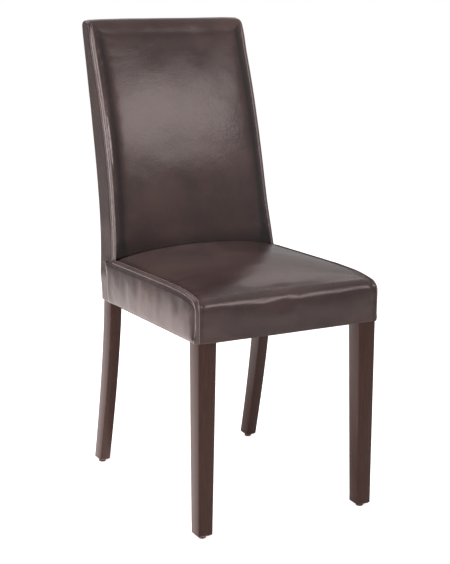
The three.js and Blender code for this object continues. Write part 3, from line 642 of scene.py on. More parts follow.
def addStitches(name, at, corners, side, high, ends):
    # Each stitch is a small long ball, turned along the seam and pressed into it
    bm = bmesh.new()
    lift = float(bandLift(ridge["stitchRow"], 1.0, high)) - ridge["dent"] * 0.5
    for offset in (-ridge["stitchRow"], ridge["stitchRow"]):
        points, normals = seamGrid(at, corners, side, ridge["pitch"], np.array([offset]))
        points, normals = points[:, 0], normals[:, 0]
        kept = flattened(alongOf(points), ends)
        for i in range(1, len(points) - 1):
            step = points[i + 1] - points[i - 1]
            direction, outward = Vector(step).normalized(), Vector(normals[i])
            outward = (outward - direction * outward.dot(direction)).normalized()
            turn = Matrix((direction.cross(outward), direction, outward)).transposed().to_4x4()
            length = min(ridge["stitchLength"], step.dot(direction) * 0.38)
            size = Matrix.Diagonal((ridge["stitchRadius"], length / 2, ridge["stitchRadius"] * 0.9, 1))
            place = Matrix.Translation(Vector(points[i]) + outward * lift * kept[i])
            bmesh.ops.create_icosphere(bm, subdivisions=1, radius=1, matrix=place @ turn @ size)
    addPiece(name, bm, "leathercloth", thread)


slices = acrossSlices()

# Seat cover

seat = dict(
    crown=0.020, crownRun=0.230, crownPower=2.6, frontRound=0.024, drop=0.011, run=0.095,
    top=0.501525, fall=0.028, fallFrom=0.150, roll=0.009, rearRound=0.008, gap=0.0005, tail=0.468,
    frontSeam=62, seamTurn=(0.050, 0.115), lap=0.007, beside=0.06, side=20, sidePower=1.5, edgeInset=0.008,
    rows=dict(front=13, bend=8, top=62, roll=8, rear=4),
    cloth=dict(pressure=1.0, stiffness=40, bending=12, spare=0.001, frames=16, cap=0.003),
)
seatTopEnd = seat["rows"]["front"] + seat["rows"]["bend"] + seat["rows"]["top"]
seatRear = float(bandFrontAt(back["foot"])) - 0.0003  # where the search for the crease starts


def seatTopAt(depth):
    front = 1 - clamp(depth / seat["run"])
    return seat["top"] - seat["drop"] * front ** 2 - seat["fall"] * np.maximum(0, depth - seat["fallFrom"])


def seatLimit(x, z):
    # How far back the seat may reach, where the back cushion stands on it
    r, half, outwards = cornerRound(z), backHalfAt(z), abs(x)
    u = clamp((outwards - (half - r)) / r) * r
    setback = r - np.sqrt(np.maximum(r ** 2 - u ** 2, 0))
    beside = smooth(outwards, half - 0.001, half + 0.001) * seat["beside"]
    share = 1 - np.minimum(1, outwards / (half - r)) ** seat["crownPower"]
    height = clamp((z - back["foot"]) / (chair["height"] - back["foot"]))
    face = backFaceAt(z) - back["crown"] * share * np.sin(math.pi * height)
    # The side laps over the back's side
    lap = seat["lap"] * smooth(outwards, chair["half"] - 0.001, chair["half"] - 0.0001)
    post = bandFrontAt(np.minimum(z, back["foot"])) + setback + lap
    return np.minimum(post, face + setback + beside) - seat["gap"]


def seatChain(x, share, fine=1):
    # One line over the seat from the front hem to its rear, as (depth, height)
    turn = math.atan(2 * seat["drop"] / seat["run"])
    r = seat["frontRound"]
    count = {key: number * fine for key, number in seat["rows"].items()}
    start = r * (1 - math.sin(turn))
    middle = seatTopAt(start) - r * math.cos(turn)  # height of the front rounding's centre

    def rise(depth):
        return seatTopAt(depth) + seat["crown"] * share * smooth(depth, 0, seat["crownRun"])

    crease = seatRear
    for _ in range(12):
        crease = float(seatLimit(x, rise(crease)))
    roll = mix(seat["roll"], seat["rearRound"], float(smooth(abs(x), 0.185, 0.2)))
    end = crease - roll
    endZ = float(rise(end))
    chain = [(0.0, z) for z in steps(hemAt(0.0), middle, count["front"])]
    chain += [(r - r * math.cos(a), middle + r * math.sin(a))
              for a in steps(0, math.pi / 2 - turn, count["bend"])]
    chain += [(d, float(rise(d))) for d in steps(start, end, count["top"], 1.15)]
    chain += [(end + roll * math.sin(a), endZ - roll + roll * math.cos(a))
              for a in steps(0, math.pi / 2, count["roll"])]
    low = min(seat["tail"], endZ - roll - 0.002)
    chain += [(crease, z) for z in steps(endZ - roll, low, count["rear"], last=True)]
    return np.array(chain)


def seatSeamAt(chain):
    # Down the front the seam slides round the corner, to the cushion's side
    return mix(math.radians(seat["frontSeam"]), seamAngle, smooth(alongOf(chain), *seat["seamTurn"]))


def seatGrid():
    rings, seams = [], []
    for side, angle, share in slices:
        x = (side or share) * (chair["half"] - seat["edgeInset"])
        chain = seatChain(x, 1 - abs(share) ** seat["crownPower"])
        rounds, seamAt = cornerRound(chain[:, 1]), seatSeamAt(chain)
        ring, away = ringOf(chain, rounds, chair["half"], side, angle, share, seamAt)
        limit = seatLimit(ring[:, 0], ring[:, 2])
        if angle > math.radians(70):  # beside the back cushion the cover goes on to the post
            ring[:, 1] = mix(ring[:, 1], limit, smooth(np.arange(len(chain)), seatTopEnd - 1, seatTopEnd + 6))
        ring[:, 1] = np.minimum(ring[:, 1], limit)
        rings.append(ring)
        seams.append(away)
    # The sides go down from the outermost rings to the hem
    hemEnd = float(bandFrontAt(hemAt(chair["rear"]))) + chair["hemRound"] + seat["lap"] - seat["gap"]
    ends = []
    for index in (0, -1):
        edge, along = rings[index], alongOf(rings[index])
        depth = mix(edge[0, 1], hemEnd, along / along[-1])
        low = np.stack([edge[:, 0], depth, hemAt(depth)], 1)
        panel = []
        for share in (np.arange(1, seat["side"] + 1) / seat["side"]) ** seat["sidePower"]:
            column = mix(edge, low, share)
            column[:, 1] = np.minimum(column[:, 1], seatLimit(column[:, 0], column[:, 2]))
            apart = np.linalg.norm(column[:, None] - edge[None], axis=2)
            panel.append((column, seams[index][apart.argmin(1)] - apart.min(1)))
        ends.append(panel)
    points = [p for p, _ in ends[0][::-1]] + rings + [p for p, _ in ends[1]]
    away = [a for _, a in ends[0][::-1]] + seams + [a for _, a in ends[1]]
    return inFrame(np.array(points).transpose(1, 0, 2)), np.array(away).T


# Heights and places of the seat's folds; a place is a distance from the seam, below 0 on the side band
seatFolds = dict(
    hold=0.012, crease=(0.004, 0.022), valley=0.0016, valleyAt=0.0105, valleyWidth=0.0050,
    bulge=0.0042, bulgePower=0.62, corner=0.0046, cornerRun=0.036,
    beside=0.0007, besideAt=-0.0095, besideWidth=0.0035, pucker=0.0007, puckerSize=0.013, puckerFade=0.014,
    puckerBand=0.15, wave=0.0011, waveSize=0.085, ripple=0.0007, rippleSize=0.034,
    frontWave=0.0010, frontSize=0.05, edgeWave=0.0006, edgeSize=0.06, edgeAt=0.093, edgeWidth=0.012,
    # Paler front edge and pucker crests: partly rub, partly painted highlight
    over=0.0013, turnedIn=(0.0040, 0.0090), edgeRubAndSheen=0.25, puckerRubAndSheen=0.20,
    # Shares of painted shade: in the valley, under the seam, in the front corner, at the side's rear end and
    # in the crease at the back
    shadeShares=dict(valley=0.35, beside=0.4, corner=0.9, rearEnd=0.9, crease=0.8),
)


def dressSeat(mesh):
    # Folds and pulls of the leathercloth, at their places on the seat
    s, shadeShares = seatFolds, seatFolds["shadeShares"]
    co, normal = meshArrays(mesh)
    away, along, toRear = (values(mesh, key) for key in ("fromSeam", "along", "toRear"))
    depth = co[:, 1] - frontY
    rise = co[:, 2] - hemAt(depth)
    toEnd = bandFrontAt(co[:, 2]) + chair["hemRound"] + seat["lap"] - depth
    hold, crease = smooth(rise, 0.0, s["hold"]), smooth(toRear, *s["crease"])
    onPanel, onBand, near = bySeam(away, s["puckerFade"])
    # A valley beside the seam, a bulging side that is drawn in at the front corner
    valley = hill(away, s["valleyAt"], s["valleyWidth"])
    bulge = np.sin(math.pi * clamp(rise / np.maximum(rise - away, 0.02)) ** s["bulgePower"])
    bulge *= smooth(toEnd, 0.004, 0.016) * smooth(-away, 0.0, 0.006)
    corner = (1 - clamp(depth / s["cornerRun"])) ** 2 * smooth(-away, 0.003, 0.014)
    corner *= mix(0.55, 1.0, smooth(rise, 0, 0.03))
    beside = hill(away, s["besideAt"], s["besideWidth"]) * smooth(toEnd, 0.0, 0.02)
    lift = -s["valley"] * valley + s["bulge"] * bulge
    lift -= (s["corner"] * corner + s["beside"] * beside) * hold
    # Puckers near the seam, slow waves on the top, ripples down the side and the front
    pucker = noiseOn(along, away * 0.4, s["puckerSize"], 3.1)
    lift += s["pucker"] * pucker * near * (onPanel + s["puckerBand"] * onBand)
    lift += s["wave"] * noiseAt(co, s["waveSize"], seed=7.7) * onPanel
    ripple = noiseOn(depth, co[:, 2] * 0.25, s["rippleSize"], 1.4)
    lift += s["ripple"] * ripple * smooth(-away, 0.012, 0.035) * hold
    frontFace = (1 - smooth(depth, 0.0, 0.004)) * smooth(away, 0.004, 0.02)
    lift += s["frontWave"] * noiseOn(co[:, 0], co[:, 2] * 0.35, s["frontSize"], 5.2) * frontFace * hold
    frontEdge = hill(along, s["edgeAt"], s["edgeWidth"]) * onPanel
    lift += s["edgeWave"] * noiseAt(co, s["edgeSize"], (1, 0.2, 0.2), 9.3) * frontEdge
    # The side's rear end lies over the back's side and turns in there
    over = s["over"] * (1 - smooth(toEnd, 0.006, 0.045)) * smooth(-away, 0.0, 0.006)
    turnedIn = mix(*s["turnedIn"], smooth(co[:, 2], 0.445, 0.480)) * (1 - smooth(toEnd, 0.0, 0.007))
    placed = co + normal * (lift * crease + over)[:, None]
    placed[:, 0] -= np.sign(co[:, 0]) * turnedIn * smooth(-away, 0.0, 0.003)
    placeVertices(mesh, placed)
    # The front edge and pucker crests are painted paler, partly rub and partly painted highlight; painted
    # shade darkens the valley, the strip under the seam, the front corner, the side's rear end and the crease
    # at the back
    setValues(mesh, "rubAndSheen", s["edgeRubAndSheen"] * frontEdge + s["puckerRubAndSheen"] * clamp(pucker) * near)
    shaded = smooth(-away, 0.004, 0.008) * (1 - smooth(-away, 0.010, 0.030))
    rearEnd = (1 - smooth(toEnd, 0.003, 0.022)) * onBand
    setValues(mesh, "paintedShade", shadeShares["valley"] * valley * onPanel + shadeShares["beside"] * shaded
              + shadeShares["corner"] * corner + shadeShares["rearEnd"] * rearEnd
              + shadeShares["crease"] * (1 - smooth(toRear, 0.0, 0.014)))


points, away = seatGrid()
along = np.array([alongOf(points[:, c]) for c in range(points.shape[1])]).T
toRear = along[-1][None, :] - along
toRear[:, :seat["side"]] = toRear[:, -seat["side"]:] = 1.0  # the sides have no crease at their ends
bm = gridMesh(points, {"fromSeam": away, "along": along, "toRear": toRear})
weld(bm)
seam = bm.verts.layers.float["fromSeam"]
for face in bm.faces:
    inside = sum(v[seam] for v in face.verts) / len(face.verts)
    face.material_index = 0 if inside > 0 else (1 if face.calc_center_median().x > 0 else 2)
seatWhole = addPiece("seatWhole", bm, "leathercloth")
co, _ = meshArrays(seatWhole.data)
away, toRear = values(seatWhole.data, "fromSeam"), values(seatWhole.data, "toRear")
rise = co[:, 2] - hemAt(co[:, 1] - frontY)
free = smooth(np.abs(away), *cover["free"]) * smooth(rise, 0.004, 0.03) * smooth(toRear, 0.015, 0.04)
free *= smooth(bandFrontAt(co[:, 2]) - (co[:, 1] - frontY), 0.0, 0.03)
# The front edge and the sides keep less of the move than the top
kept = 1 - 0.5 * hill(values(seatWhole.data, "along"), seatFolds["edgeAt"], 0.03)
simulate(seatWhole, 1 - free, mix(0.4, 0.75 * kept, smooth(away, -0.01, 0.01)), seat["cloth"])
subdivide(seatWhole)
dressSeat(seatWhole.data)
splitPanels(seatWhole, [("seat_panel", "seat_cover_strip"), ("seat_left_panel", "seat_cover_left_band"),
                        ("seat_right_panel", "seat_cover_right_band")])
fine = 3
chain = seatChain(chair["half"] - chair["hemRound"], 0, fine)
surface, along = surfaceOf(chain, cornerRound(chain[:, 1]), chair["half"], seatSeamAt(chain))
for word, side in ("left", 1), ("right", -1):
    addSeam(f"seat_{word}_seam", surface, [(0, 0.001), (0, along[fine * seatTopEnd])], side,
            ((0.07, 0.5), (0.02, 0.1)), high=0.7, rubbedAndSheened=0.15)
print("seat cover made")

# Back cover

back.update(
    rows=dict(strip=10, under=4, nose=6, face=76, arc=7, top=9), hidden=(0.186, 0.466),
    cloth=dict(pressure=0.8, stiffness=40, bending=12, spare=0.001, frames=16, cap=0.003),
)


def rollStart():
    # Where the front face turns into the roll over the top, as (depth, height, lean)
    z = 0.985
    for _ in range(8):
        lean = math.atan(float(backFrontAt(z + 0.001) - backFrontAt(z - 0.001)) / 0.002)
        z = chair["height"] - back["topRoll"] * (1 - math.sin(lean))
    return float(backFrontAt(z)), z, lean


def backChain(share, fine=1):
    # One line round the back from the front hem over the top to the rear hem, as (depth, height)
    count = {key: number * fine for key, number in back["rows"].items()}
    r, n, roll, high = back["topRound"], back["nose"], back["topRoll"], chair["height"]
    foot, stripTop, stileTop = back["foot"], back["stripTop"], back["stileTop"]
    low = hemAt(float(bandFrontAt(0.4)))
    front = [(float(bandFrontAt(z)), z) for z in steps(low, stripTop, count["strip"])]
    front += [(mix(float(bandFrontAt(stripTop)), float(noseDepth), s), mix(stripTop, foot, s))
              for s in steps(0, 1, count["under"])]
    front += [(float(noseDepth) - n * math.sin(a), noseTop - n * math.cos(a))
              for a in steps(0, math.pi / 2, count["nose"])]
    rollDepth, rollZ, lean = rollStart()
    front += [(float(backFrontAt(z)), z) for z in steps(noseTop, rollZ, count["face"])]
    heights = [z for _, z in front]
    fore, aft = rollDepth + roll * math.cos(lean), float(backRearAt(stileTop)) - r
    front += [(fore - roll * math.cos(a), high - roll * (1 - math.sin(a)))
              for a in steps(lean, math.pi / 2, count["arc"])]
    swell = [back["crown"] * share * math.sin(math.pi * float(clamp((z - foot) / (high - foot))))
             for _, z in front]
    chain = [(d - s, z) for (d, z), s in zip(front, swell)]
    chain += [(d, high) for d in steps(fore, aft, count["top"])]
    arc = [(aft + r * math.cos(a), stileTop + r * math.sin(a)) for a in steps(0, math.pi / 2, count["arc"])]
    chain += [(aft, high)] + arc[:0:-1]
    chain += [(float(backRearAt(z)), z) for z in [stileTop] + heights[::-1]]
    return np.array(chain)


def backSpans(fine=1):
    # Row numbers on that line: end of the front, of the top, and of the rear edge's rounding
    count = {key: number * fine for key, number in back["rows"].items()}
    front = count["strip"] + count["under"] + count["nose"] + count["face"] + count["arc"]
    return front, front + count["top"], front + count["top"] + count["arc"]


def backRounds(chain, fine=1):
    # How round the side edges are along that line: less behind than in front
    front, top, _ = backSpans(fine)
    rearShare = clamp((np.arange(len(chain)) - front) / (top - front))
    return mix(cornerRound(chain[:, 1]), chair["hemRound"], rearShare)


def backEase(chain, fine=1):
    # How far the front face falls towards its sides, where the cushion is soft
    front, top, _ = backSpans(fine)
    z = chain[:, 1]
    fall = back["ease"] * smooth(z, 0.50, 0.62) * mix(1.0, 0.12, smooth(z, 0.925, 0.985))
    return fall * (1 - smooth(np.arange(len(chain)), front, top))


def backGrid():
    rings, seams = [], []
    for side, angle, share in slices:
        chain = backChain(1 - abs(share) ** seat["crownPower"])
        ring, away = ringOf(chain, backRounds(chain), backHalfAt(chain[:, 1]), side, angle, share,
                            back["seamAt"], backEase(chain))
        rings.append(ring)
        seams.append(away)
    front, top, _ = backSpans()
    bands = []
    for index in (0, -1):
        edge, away = rings[index], seams[index]
        shares = np.linspace(0, 1, top - front + 1)
        rungs = [[mix(edge[i], edge[-1 - i], s) for s in shares] for i in range(front)]
        rungs.append(list(edge[front:top + 1]))
        width = [np.linalg.norm(edge[i] - edge[-1 - i]) for i in range(front + 1)]
        far = [[away[i] - w * min(s, 1 - s) for s in shares] for i, w in enumerate(width)]
        bands.append((inFrame(rungs), np.array(far)))
    return inFrame(np.array(rings).transpose(1, 0, 2)), np.array(seams).T, bands


# Heights, places and widths of the back's folds; the valley has a number for the sides and one for the top
backFolds = dict(
    hem=0.41, hold=0.012, valley=(0.0002, 0.0007), valleyAt=(0.019, 0.030), valleyWidth=0.009,
    swell=0.0020, swellRun=0.045, pucker=0.0008, puckerSize=0.010, puckerFade=0.016, puckerBand=0.5,
    wave=0.0012, waveSize=0.18, dimple=0.0004, dimpleSize=0.06, bandWave=0.0007, bandSize=0.06,
    foldAt=(0.172, 0.545), fold=0.0012, foldWidth=0.009, foldLength=0.03, hollow=0.0008, hollowWidth=0.010,
    # Shares of painted shade in the valley and at the foot above the seat; pucker crests get painted
    # highlight, partly rub
    hollowOff=0.015, puckerRubAndSheen=0.3, valleyShade=(0.85, 0.3), footShade=0.8,
)


def dressBack(mesh):
    # Folds and pulls of the leathercloth, at their places on the back
    s = backFolds
    co, normal = meshArrays(mesh)
    away, along, face = (values(mesh, key) for key in ("fromSeam", "along", "face"))
    x, z = co[:, 0], co[:, 2]
    onPanel, onBand, near = bySeam(away, s["puckerFade"])
    onPanel *= face
    # A valley runs inside the border, wider and deeper under the top edge; the middle swells
    inside = np.maximum(along - 0.002, 0) * 0.95
    topShare = smooth(away - inside, -0.004, 0.004)
    valley = hill(np.minimum(away, inside), mix(*s["valleyAt"], topShare), s["valleyWidth"])
    lift = -mix(*s["valley"], topShare) * valley * face
    lift += s["swell"] * (1 - (1 - clamp(away / s["swellRun"])) ** 2) * smooth(z, 0.51, 0.60) * onPanel
    # Puckers near the seam, most below the top corners, and slow waves
    pucker = noiseOn(z, away * 0.5, s["puckerSize"], 4.6)
    high = 0.4 + 2.2 * smooth(z, 0.87, 0.93) * (1 - smooth(z, 0.965, 0.985))
    lift += s["pucker"] * pucker * near * high * (onPanel + s["puckerBand"] * onBand)
    lift += s["wave"] * noiseAt(co, s["waveSize"], seed=2.2) * onPanel
    lift += s["dimple"] * noiseAt(co, s["dimpleSize"], seed=8.8) * onPanel
    lift += s["bandWave"] * noiseOn(z, co[:, 1] * 0.6, s["bandSize"], 6.1) * onBand
    # One slanting fold in the low corner on the left, with a hollow under it
    dx, dz = x - s["foldAt"][0], z - s["foldAt"][1]
    across, beyond = dx * 0.6 + dz * 0.8, hill(dx * 0.8 - dz * 0.6, 0, s["foldLength"]) * onPanel
    lift += s["fold"] * hill(across, 0, s["foldWidth"]) * beyond
    lift -= s["hollow"] * hill(across, -s["hollowOff"], s["hollowWidth"]) * beyond
    hold = smooth(z - s["hem"], 0.0, s["hold"])
    placeVertices(mesh, co + normal * (lift * hold)[:, None])
    # Pucker crests painted paler, partly rub and partly painted highlight; painted shade in the valley and at
    # the foot, above the seat
    setValues(mesh, "rubAndSheen", s["puckerRubAndSheen"] * clamp(pucker) * near * face)
    foot = s["footShade"] * (1 - smooth(z, 0.502, 0.550))
    setValues(mesh, "paintedShade", (mix(*s["valleyShade"], topShare) * valley + foot) * face)


points, away, bands = backGrid()
front, top, edge = backSpans()
rowNumber = np.tile(np.arange(points.shape[0])[:, None], (1, points.shape[1]))
face = (rowNumber <= edge).astype(float)
fromTop = np.array([alongOf(points[:, c]) for c in range(points.shape[1])]).T
fromTop = np.abs(fromTop - fromTop[front - back["rows"]["arc"] // 2][None, :])
bm = gridMesh(points, {"fromSeam": away, "along": fromTop, "face": face})
tag = bm.verts.layers.float["fromSeam"]
onFace = bm.verts.layers.float["face"]
for item in bm.faces:
    inside = sum(v[tag] for v in item.verts) / 4
    isRear = sum(v[onFace] for v in item.verts) / 4 < 0.99
    side = 1 if item.calc_center_median().x > 0 else 2
    item.material_index = (3 if isRear else 0) if inside > 0 else side
for band, far in bands:
    other = gridMesh(band, {"fromSeam": far, "along": np.full(far.shape, 0.5), "face": np.zeros(far.shape)})
    for item in other.faces:
        item.material_index = 1 if item.calc_center_median().x > 0 else 2
    spare = addMesh("band", other)
    bm.from_mesh(spare)
    bpy.data.meshes.remove(spare)
# Inside the seat the front panel is left out, as far as it is hidden
centres = {f: f.calc_center_median() for f in bm.faces if f.material_index == 0}
inSeat = [f for f, c in centres.items() if abs(c.x) < back["hidden"][0] and c.z < back["hidden"][1]]
bmesh.ops.delete(bm, geom=inSeat, context="FACES")
weld(bm)
backWhole = addPiece("backWhole", bm, "leathercloth")
co, _ = meshArrays(backWhole.data)
away, face = values(backWhole.data, "fromSeam"), values(backWhole.data, "face")
free = smooth(np.abs(away), *cover["free"]) * smooth(co[:, 2], 0.50, 0.53) * face
free *= 1 - smooth(co[:, 2], 0.985, 0.992)
simulate(backWhole, 1 - free, 0.65, back["cloth"])
subdivide(backWhole)
dressBack(backWhole.data)
splitPanels(backWhole, [("back_panel", "back_cover_front"), ("back_left_panel", "back_cover_left_band"),
                        ("back_right_panel", "back_cover_right_band"),
                        ("back_rear_panel", "back_cover_rear")])
fine = 4
chain = backChain(0, fine)
surface, along = surfaceOf(chain, backRounds(chain, fine), backHalfAt(chain[:, 1]), back["seamAt"],
                           backEase(chain, fine))
front, _, edge = backSpans(fine)
start = along[fine * (back["rows"]["strip"] + back["rows"]["under"] // 2)]
rolls = along[front - fine * back["rows"]["arc"] // 2]
for word, side in ("left", 1), ("right", -1):
    addSeam(f"back_{word}_seam", surface, [(0, start), (0, rolls)], side, ((0.01, 1), (0.05, 0.05)), rubbedAndSheened=1.7)
    addSeam(f"back_{word}_rear_seam", surface, [(0, along[edge]), (0, along[-1] - 0.001)], side,
            ((0.02, 0.1), (0.01, 1)), stitched=False, scale=0.5)
print("back cover made")

# Foam, dust cover, glides

inner = dict(voxel=0.006, smoothing=4, inset=0.0045, fall=0.020, fallWidth=0.055, fallRise=(0.49, 0.58))


def addFoam(name, node):
    # The foam as cut, its block edges eased by remeshing; it lies inside the cover
    bm = bmesh.new()
    bm.from_mesh(nodes[node].data)
    bmesh.ops.remove_doubles(bm, verts=bm.verts, dist=1e-6)
    piece = addPiece(name, bm, "foam")
    addModifier(piece, "REMESH", mode="VOXEL", voxel_size=inner["voxel"])
    addModifier(piece, "DISPLACE", strength=-inner["inset"], mid_level=0)
    addModifier(piece, "SMOOTH", factor=0.5, iterations=inner["smoothing"])
    applyModifiers(piece)
    piece.data.materials.clear()
    piece.data.materials.append(finishes["foam"])
    piece.data.polygons.foreach_set("use_smooth", [True] * len(piece.data.polygons))
    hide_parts(node)
    return piece


addFoam("seat_foam_block", "seat_foam")
block = addFoam("back_foam_block", "back_foam")
# The back's foam falls towards its sides as the cover does
co, _ = meshArrays(block.data)
depth, z = co[:, 1] - frontY, co[:, 2]
toSide = clamp((backHalfAt(z) - np.abs(co[:, 0])) / inner["fallWidth"])
fall = inner["fall"] * (1 - toSide) ** 2 * smooth(z, *inner["fallRise"])
co[:, 1] += fall * clamp((backRearAt(z) - depth) / (backRearAt(z) - backFrontAt(z)))
placeVertices(block.data, co)

under = dict(
    step=0.008, inset=0.004, thickness=0.0006, sag=0.0015, sagRun=0.12, wrinkle=0.0007, below=0.0002,
    leg=0.040, post=0.027, clear=0.002, staple=0.010, wire=0.0008, every=0.034,
    edge=0.010, sideEdge=0.011, end=0.012,
)
# The legs and posts stand in the dust cover's corners
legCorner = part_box("front_right_leg")[0]
legInner = -legCorner.x - under["leg"] - under["clear"]
legRear = legCorner.y + under["leg"] + under["clear"]
postInner = chair["half"] - chair["stand"] - under["post"] - under["clear"]
postFront = float(bandFrontAt(hemAt(0.43))) + back["lap"] + frontY - under["clear"]


def inCorner(point):
    inLeg = abs(point.x) > legInner and point.y < legRear
    return inLeg or (abs(point.x) > postInner and point.y > postFront)


def addDustCover():
    # Black cloth stapled under the frame, cut round the legs
    low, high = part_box("dust_cover")
    size = high - low
    inset = under["inset"]
    bm = bmesh.new()
    made = bmesh.ops.create_grid(bm, x_segments=round(size.x / under["step"]),
                                 y_segments=round(size.y / under["step"]), size=0.5)
    for vert in made["verts"]:
        vert.co = (low.x + inset + (vert.co.x + 0.5) * (size.x - 2 * inset),
                   low.y + inset + (vert.co.y + 0.5) * (size.y - 2 * inset), 0)
    bmesh.ops.delete(bm, geom=[f for f in bm.faces if inCorner(f.calc_center_median())], context="FACES")
    # It sags between the rails and is a little wrinkled there
    edgeX, edgeY = chair["half"] - 0.028, 0.19
    for vert in bm.verts:
        hang = smooth(edgeX - abs(vert.co.x), 0, under["sagRun"])
        hang = float(hang * smooth(edgeY - abs(vert.co.y + 0.02), 0, under["sagRun"]))
        wrinkle = noise.noise(vert.co * 28) * under["wrinkle"]
        vert.co.z = hemAt(vert.co.y - frontY) - under["sag"] * hang + wrinkle * hang - under["below"]
    bmesh.ops.reverse_faces(bm, faces=bm.faces)
    area = sum(f.calc_area() for f in bm.faces)
    piece = addPiece("bottom_cloth", bm, "black_cloth")
    addModifier(piece, "SOLIDIFY", thickness=under["thickness"], offset=-1)
    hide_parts("dust_cover")


def addStaples():
    # Staples along the dust cover's four edges, under the rails
    bm = bmesh.new()
    low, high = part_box("dust_cover")
    frontRow, rearRow = low.y + under["edge"], high.y - under["end"]
    rows = [((-legInner + under["edge"], frontRow), (legInner - under["edge"], frontRow)),
            ((-postInner + under["edge"], rearRow), (postInner - under["edge"], rearRow))]
    for sign in (-1, 1):
        x = sign * (high.x - under["sideEdge"])
        rows.append(((x, legRear + under["end"]), (x, postFront - under["end"])))
    for start, end in rows:
        start, end = Vector((*start, 0)), Vector((*end, 0))
        count = int((end - start).length / under["every"])
        direction = (end - start).normalized()
        for i in range(count + 1):
            wobble = noise.noise(Vector((i * 3.3, start.x * 9, start.y * 9)))
            centre = start + (end - start) * (i / count)
            turn = Matrix.Rotation(math.atan2(direction.y, direction.x) + wobble * 0.5, 4, "Z")
            z = hemAt(centre.y - frontY) - under["wire"] * 0.3
            place = Matrix.Translation((centre.x, centre.y, z)) @ turn
            size = Matrix.Diagonal((under["staple"], under["wire"], under["wire"], 1))
            made = bmesh.ops.create_cube(bm, size=1, matrix=place @ size)["verts"]
            edges = {e for v in made for e in v.link_edges}
            bmesh.ops.bevel(bm, geom=list(edges), offset=under["wire"] * 0.3, segments=2, affect="EDGES",
                            profile=0.5, material=-1)
    addPiece("bottom_staples", bm, "zinc_steel")


addDustCover()
addStaples()

glide = dict(
    radius=0.008, height=0.0067, round=0.0018, chamfer=0.0003, nailHead=0.0032, recess=0.0012, lip=0.0004,
    nail=0.0013, length=0.0150, point=0.003, split=40,
)


def addGlide(name, node):
    # A nailed plastic glide: a spun dome, the nail's head sunk in its sole; the profile is (radius, height)
    low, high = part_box(node)
    middle = (low + high) / 2
    radius, top, r, chamfer = (glide[key] for key in ("radius", "height", "round", "chamfer"))
    head, recess, nail, tip = glide["nailHead"], glide["recess"], glide["nail"], top + glide["length"]
    profile = [(0.0, recess), (head, recess), (head + glide["lip"], glide["lip"] / 2),
               (radius - r - 0.001, 0.0)]
    profile += [(radius - r + r * math.sin(a), r - r * math.cos(a)) for a in np.linspace(0.2, math.pi / 2, 6)]
    profile += [(radius - chamfer, top - 2 * chamfer), (radius - 3 * chamfer, top), (nail, top),
                (nail, tip - glide["point"]), (0.0, tip)]
    bm = bmesh.new()
    verts = [bm.verts.new((middle.x + r, middle.y, low.z + z)) for r, z in profile]
    edges = [bm.edges.new(pair) for pair in zip(verts, verts[1:])]
    bmesh.ops.spin(bm, geom=verts + edges, cent=(middle.x, middle.y, 0), axis=(0, 0, 1), angle=2 * math.pi,
                   steps=40, use_merge=True)
    bmesh.ops.remove_doubles(bm, verts=bm.verts, dist=1e-6)
    bmesh.ops.recalc_face_normals(bm, faces=bm.faces)
    piece = addPiece(name, bm, "glide_plastic")
    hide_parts(node)
    addModifier(piece, "EDGE_SPLIT", split_angle=math.radians(glide["split"]))


for end in "front", "rear":
    for word in "left", "right":
        addGlide(f"{end}_{word}_foot_glide", f"{end}_{word}_glide")
print("foam, dust cover and glides made")

# The frame's own nodes: finishes, and smooth shading within an angle

def smoothShading(angle):
    # Nodes that merge the loose triangles and keep only the edges past the angle sharp
    group = bpy.data.node_groups.new("smoothWithin", "GeometryNodeTree")
    group.interface.new_socket("Geometry", in_out="INPUT", socket_type="NodeSocketGeometry")
    group.interface.new_socket("Geometry", in_out="OUTPUT", socket_type="NodeSocketGeometry")
    make = group.nodes.new
    first, last = make("NodeGroupInput"), make("NodeGroupOutput")
    merge = make("GeometryNodeMergeByDistance")
    merge.inputs["Distance"].default_value = 0.00001
    edges = make("GeometryNodeInputMeshEdgeAngle")
    sharp = make("FunctionNodeCompare")
    sharp.operation = "GREATER_THAN"
    sharp.inputs["B"].default_value = angle
    faces, hard = make("GeometryNodeSetShadeSmooth"), make("GeometryNodeSetShadeSmooth")
    hard.domain = "EDGE"
    hard.inputs["Shade Smooth"].default_value = False
    link = group.links.new
    link(first.outputs[0], merge.inputs["Geometry"])
    link(merge.outputs["Geometry"], faces.inputs["Geometry"])
    link(faces.outputs["Geometry"], hard.inputs["Geometry"])
    link(edges.outputs["Unsigned Angle"], sharp.inputs["A"])
    link(sharp.outputs[0], hard.inputs["Selection"])
    link(hard.outputs["Geometry"], last.inputs[0])
    return group


def finishOf(name):
    if name.endswith(("_leg", "_post")):
        return "stained_wood"
    if "screw" in name:
        return "zinc_steel"
    if name.endswith("_board"):
        return "plywood"
    return "raw_wood"


shading = smoothShading(math.radians(32))
for name, node in nodes.items():
    if not node.hide_render:  # the others are replaced
        node.data.materials.clear()
        node.data.materials.append(finishes[finishOf(name)])
        addModifier(node, "NODES", node_group=shading)
print("frame finished")

# Camera, light and floor

view = dict(
    place=(-1.394387, -2.6475232, 1.145393), forward=(0.456527, 0.860410, -0.226446),
    up=(0.102438, 0.201992, 0.974015), lens=90.33, sensor=36,
)


def addCamera():
    # Placed as solved from the photo's corners
    data = bpy.data.cameras.new("camera")
    data.sensor_width = view["sensor"]
    data.lens = view["lens"]
    camera = addObject("camera", data)
    forward, up = Vector(view["forward"]), Vector(view["up"])
    turn = Matrix((forward.cross(up), up, -forward)).transposed().to_4x4()
    camera.matrix_world = Matrix.Translation(view["place"]) @ turn
    bpy.context.scene.camera = camera


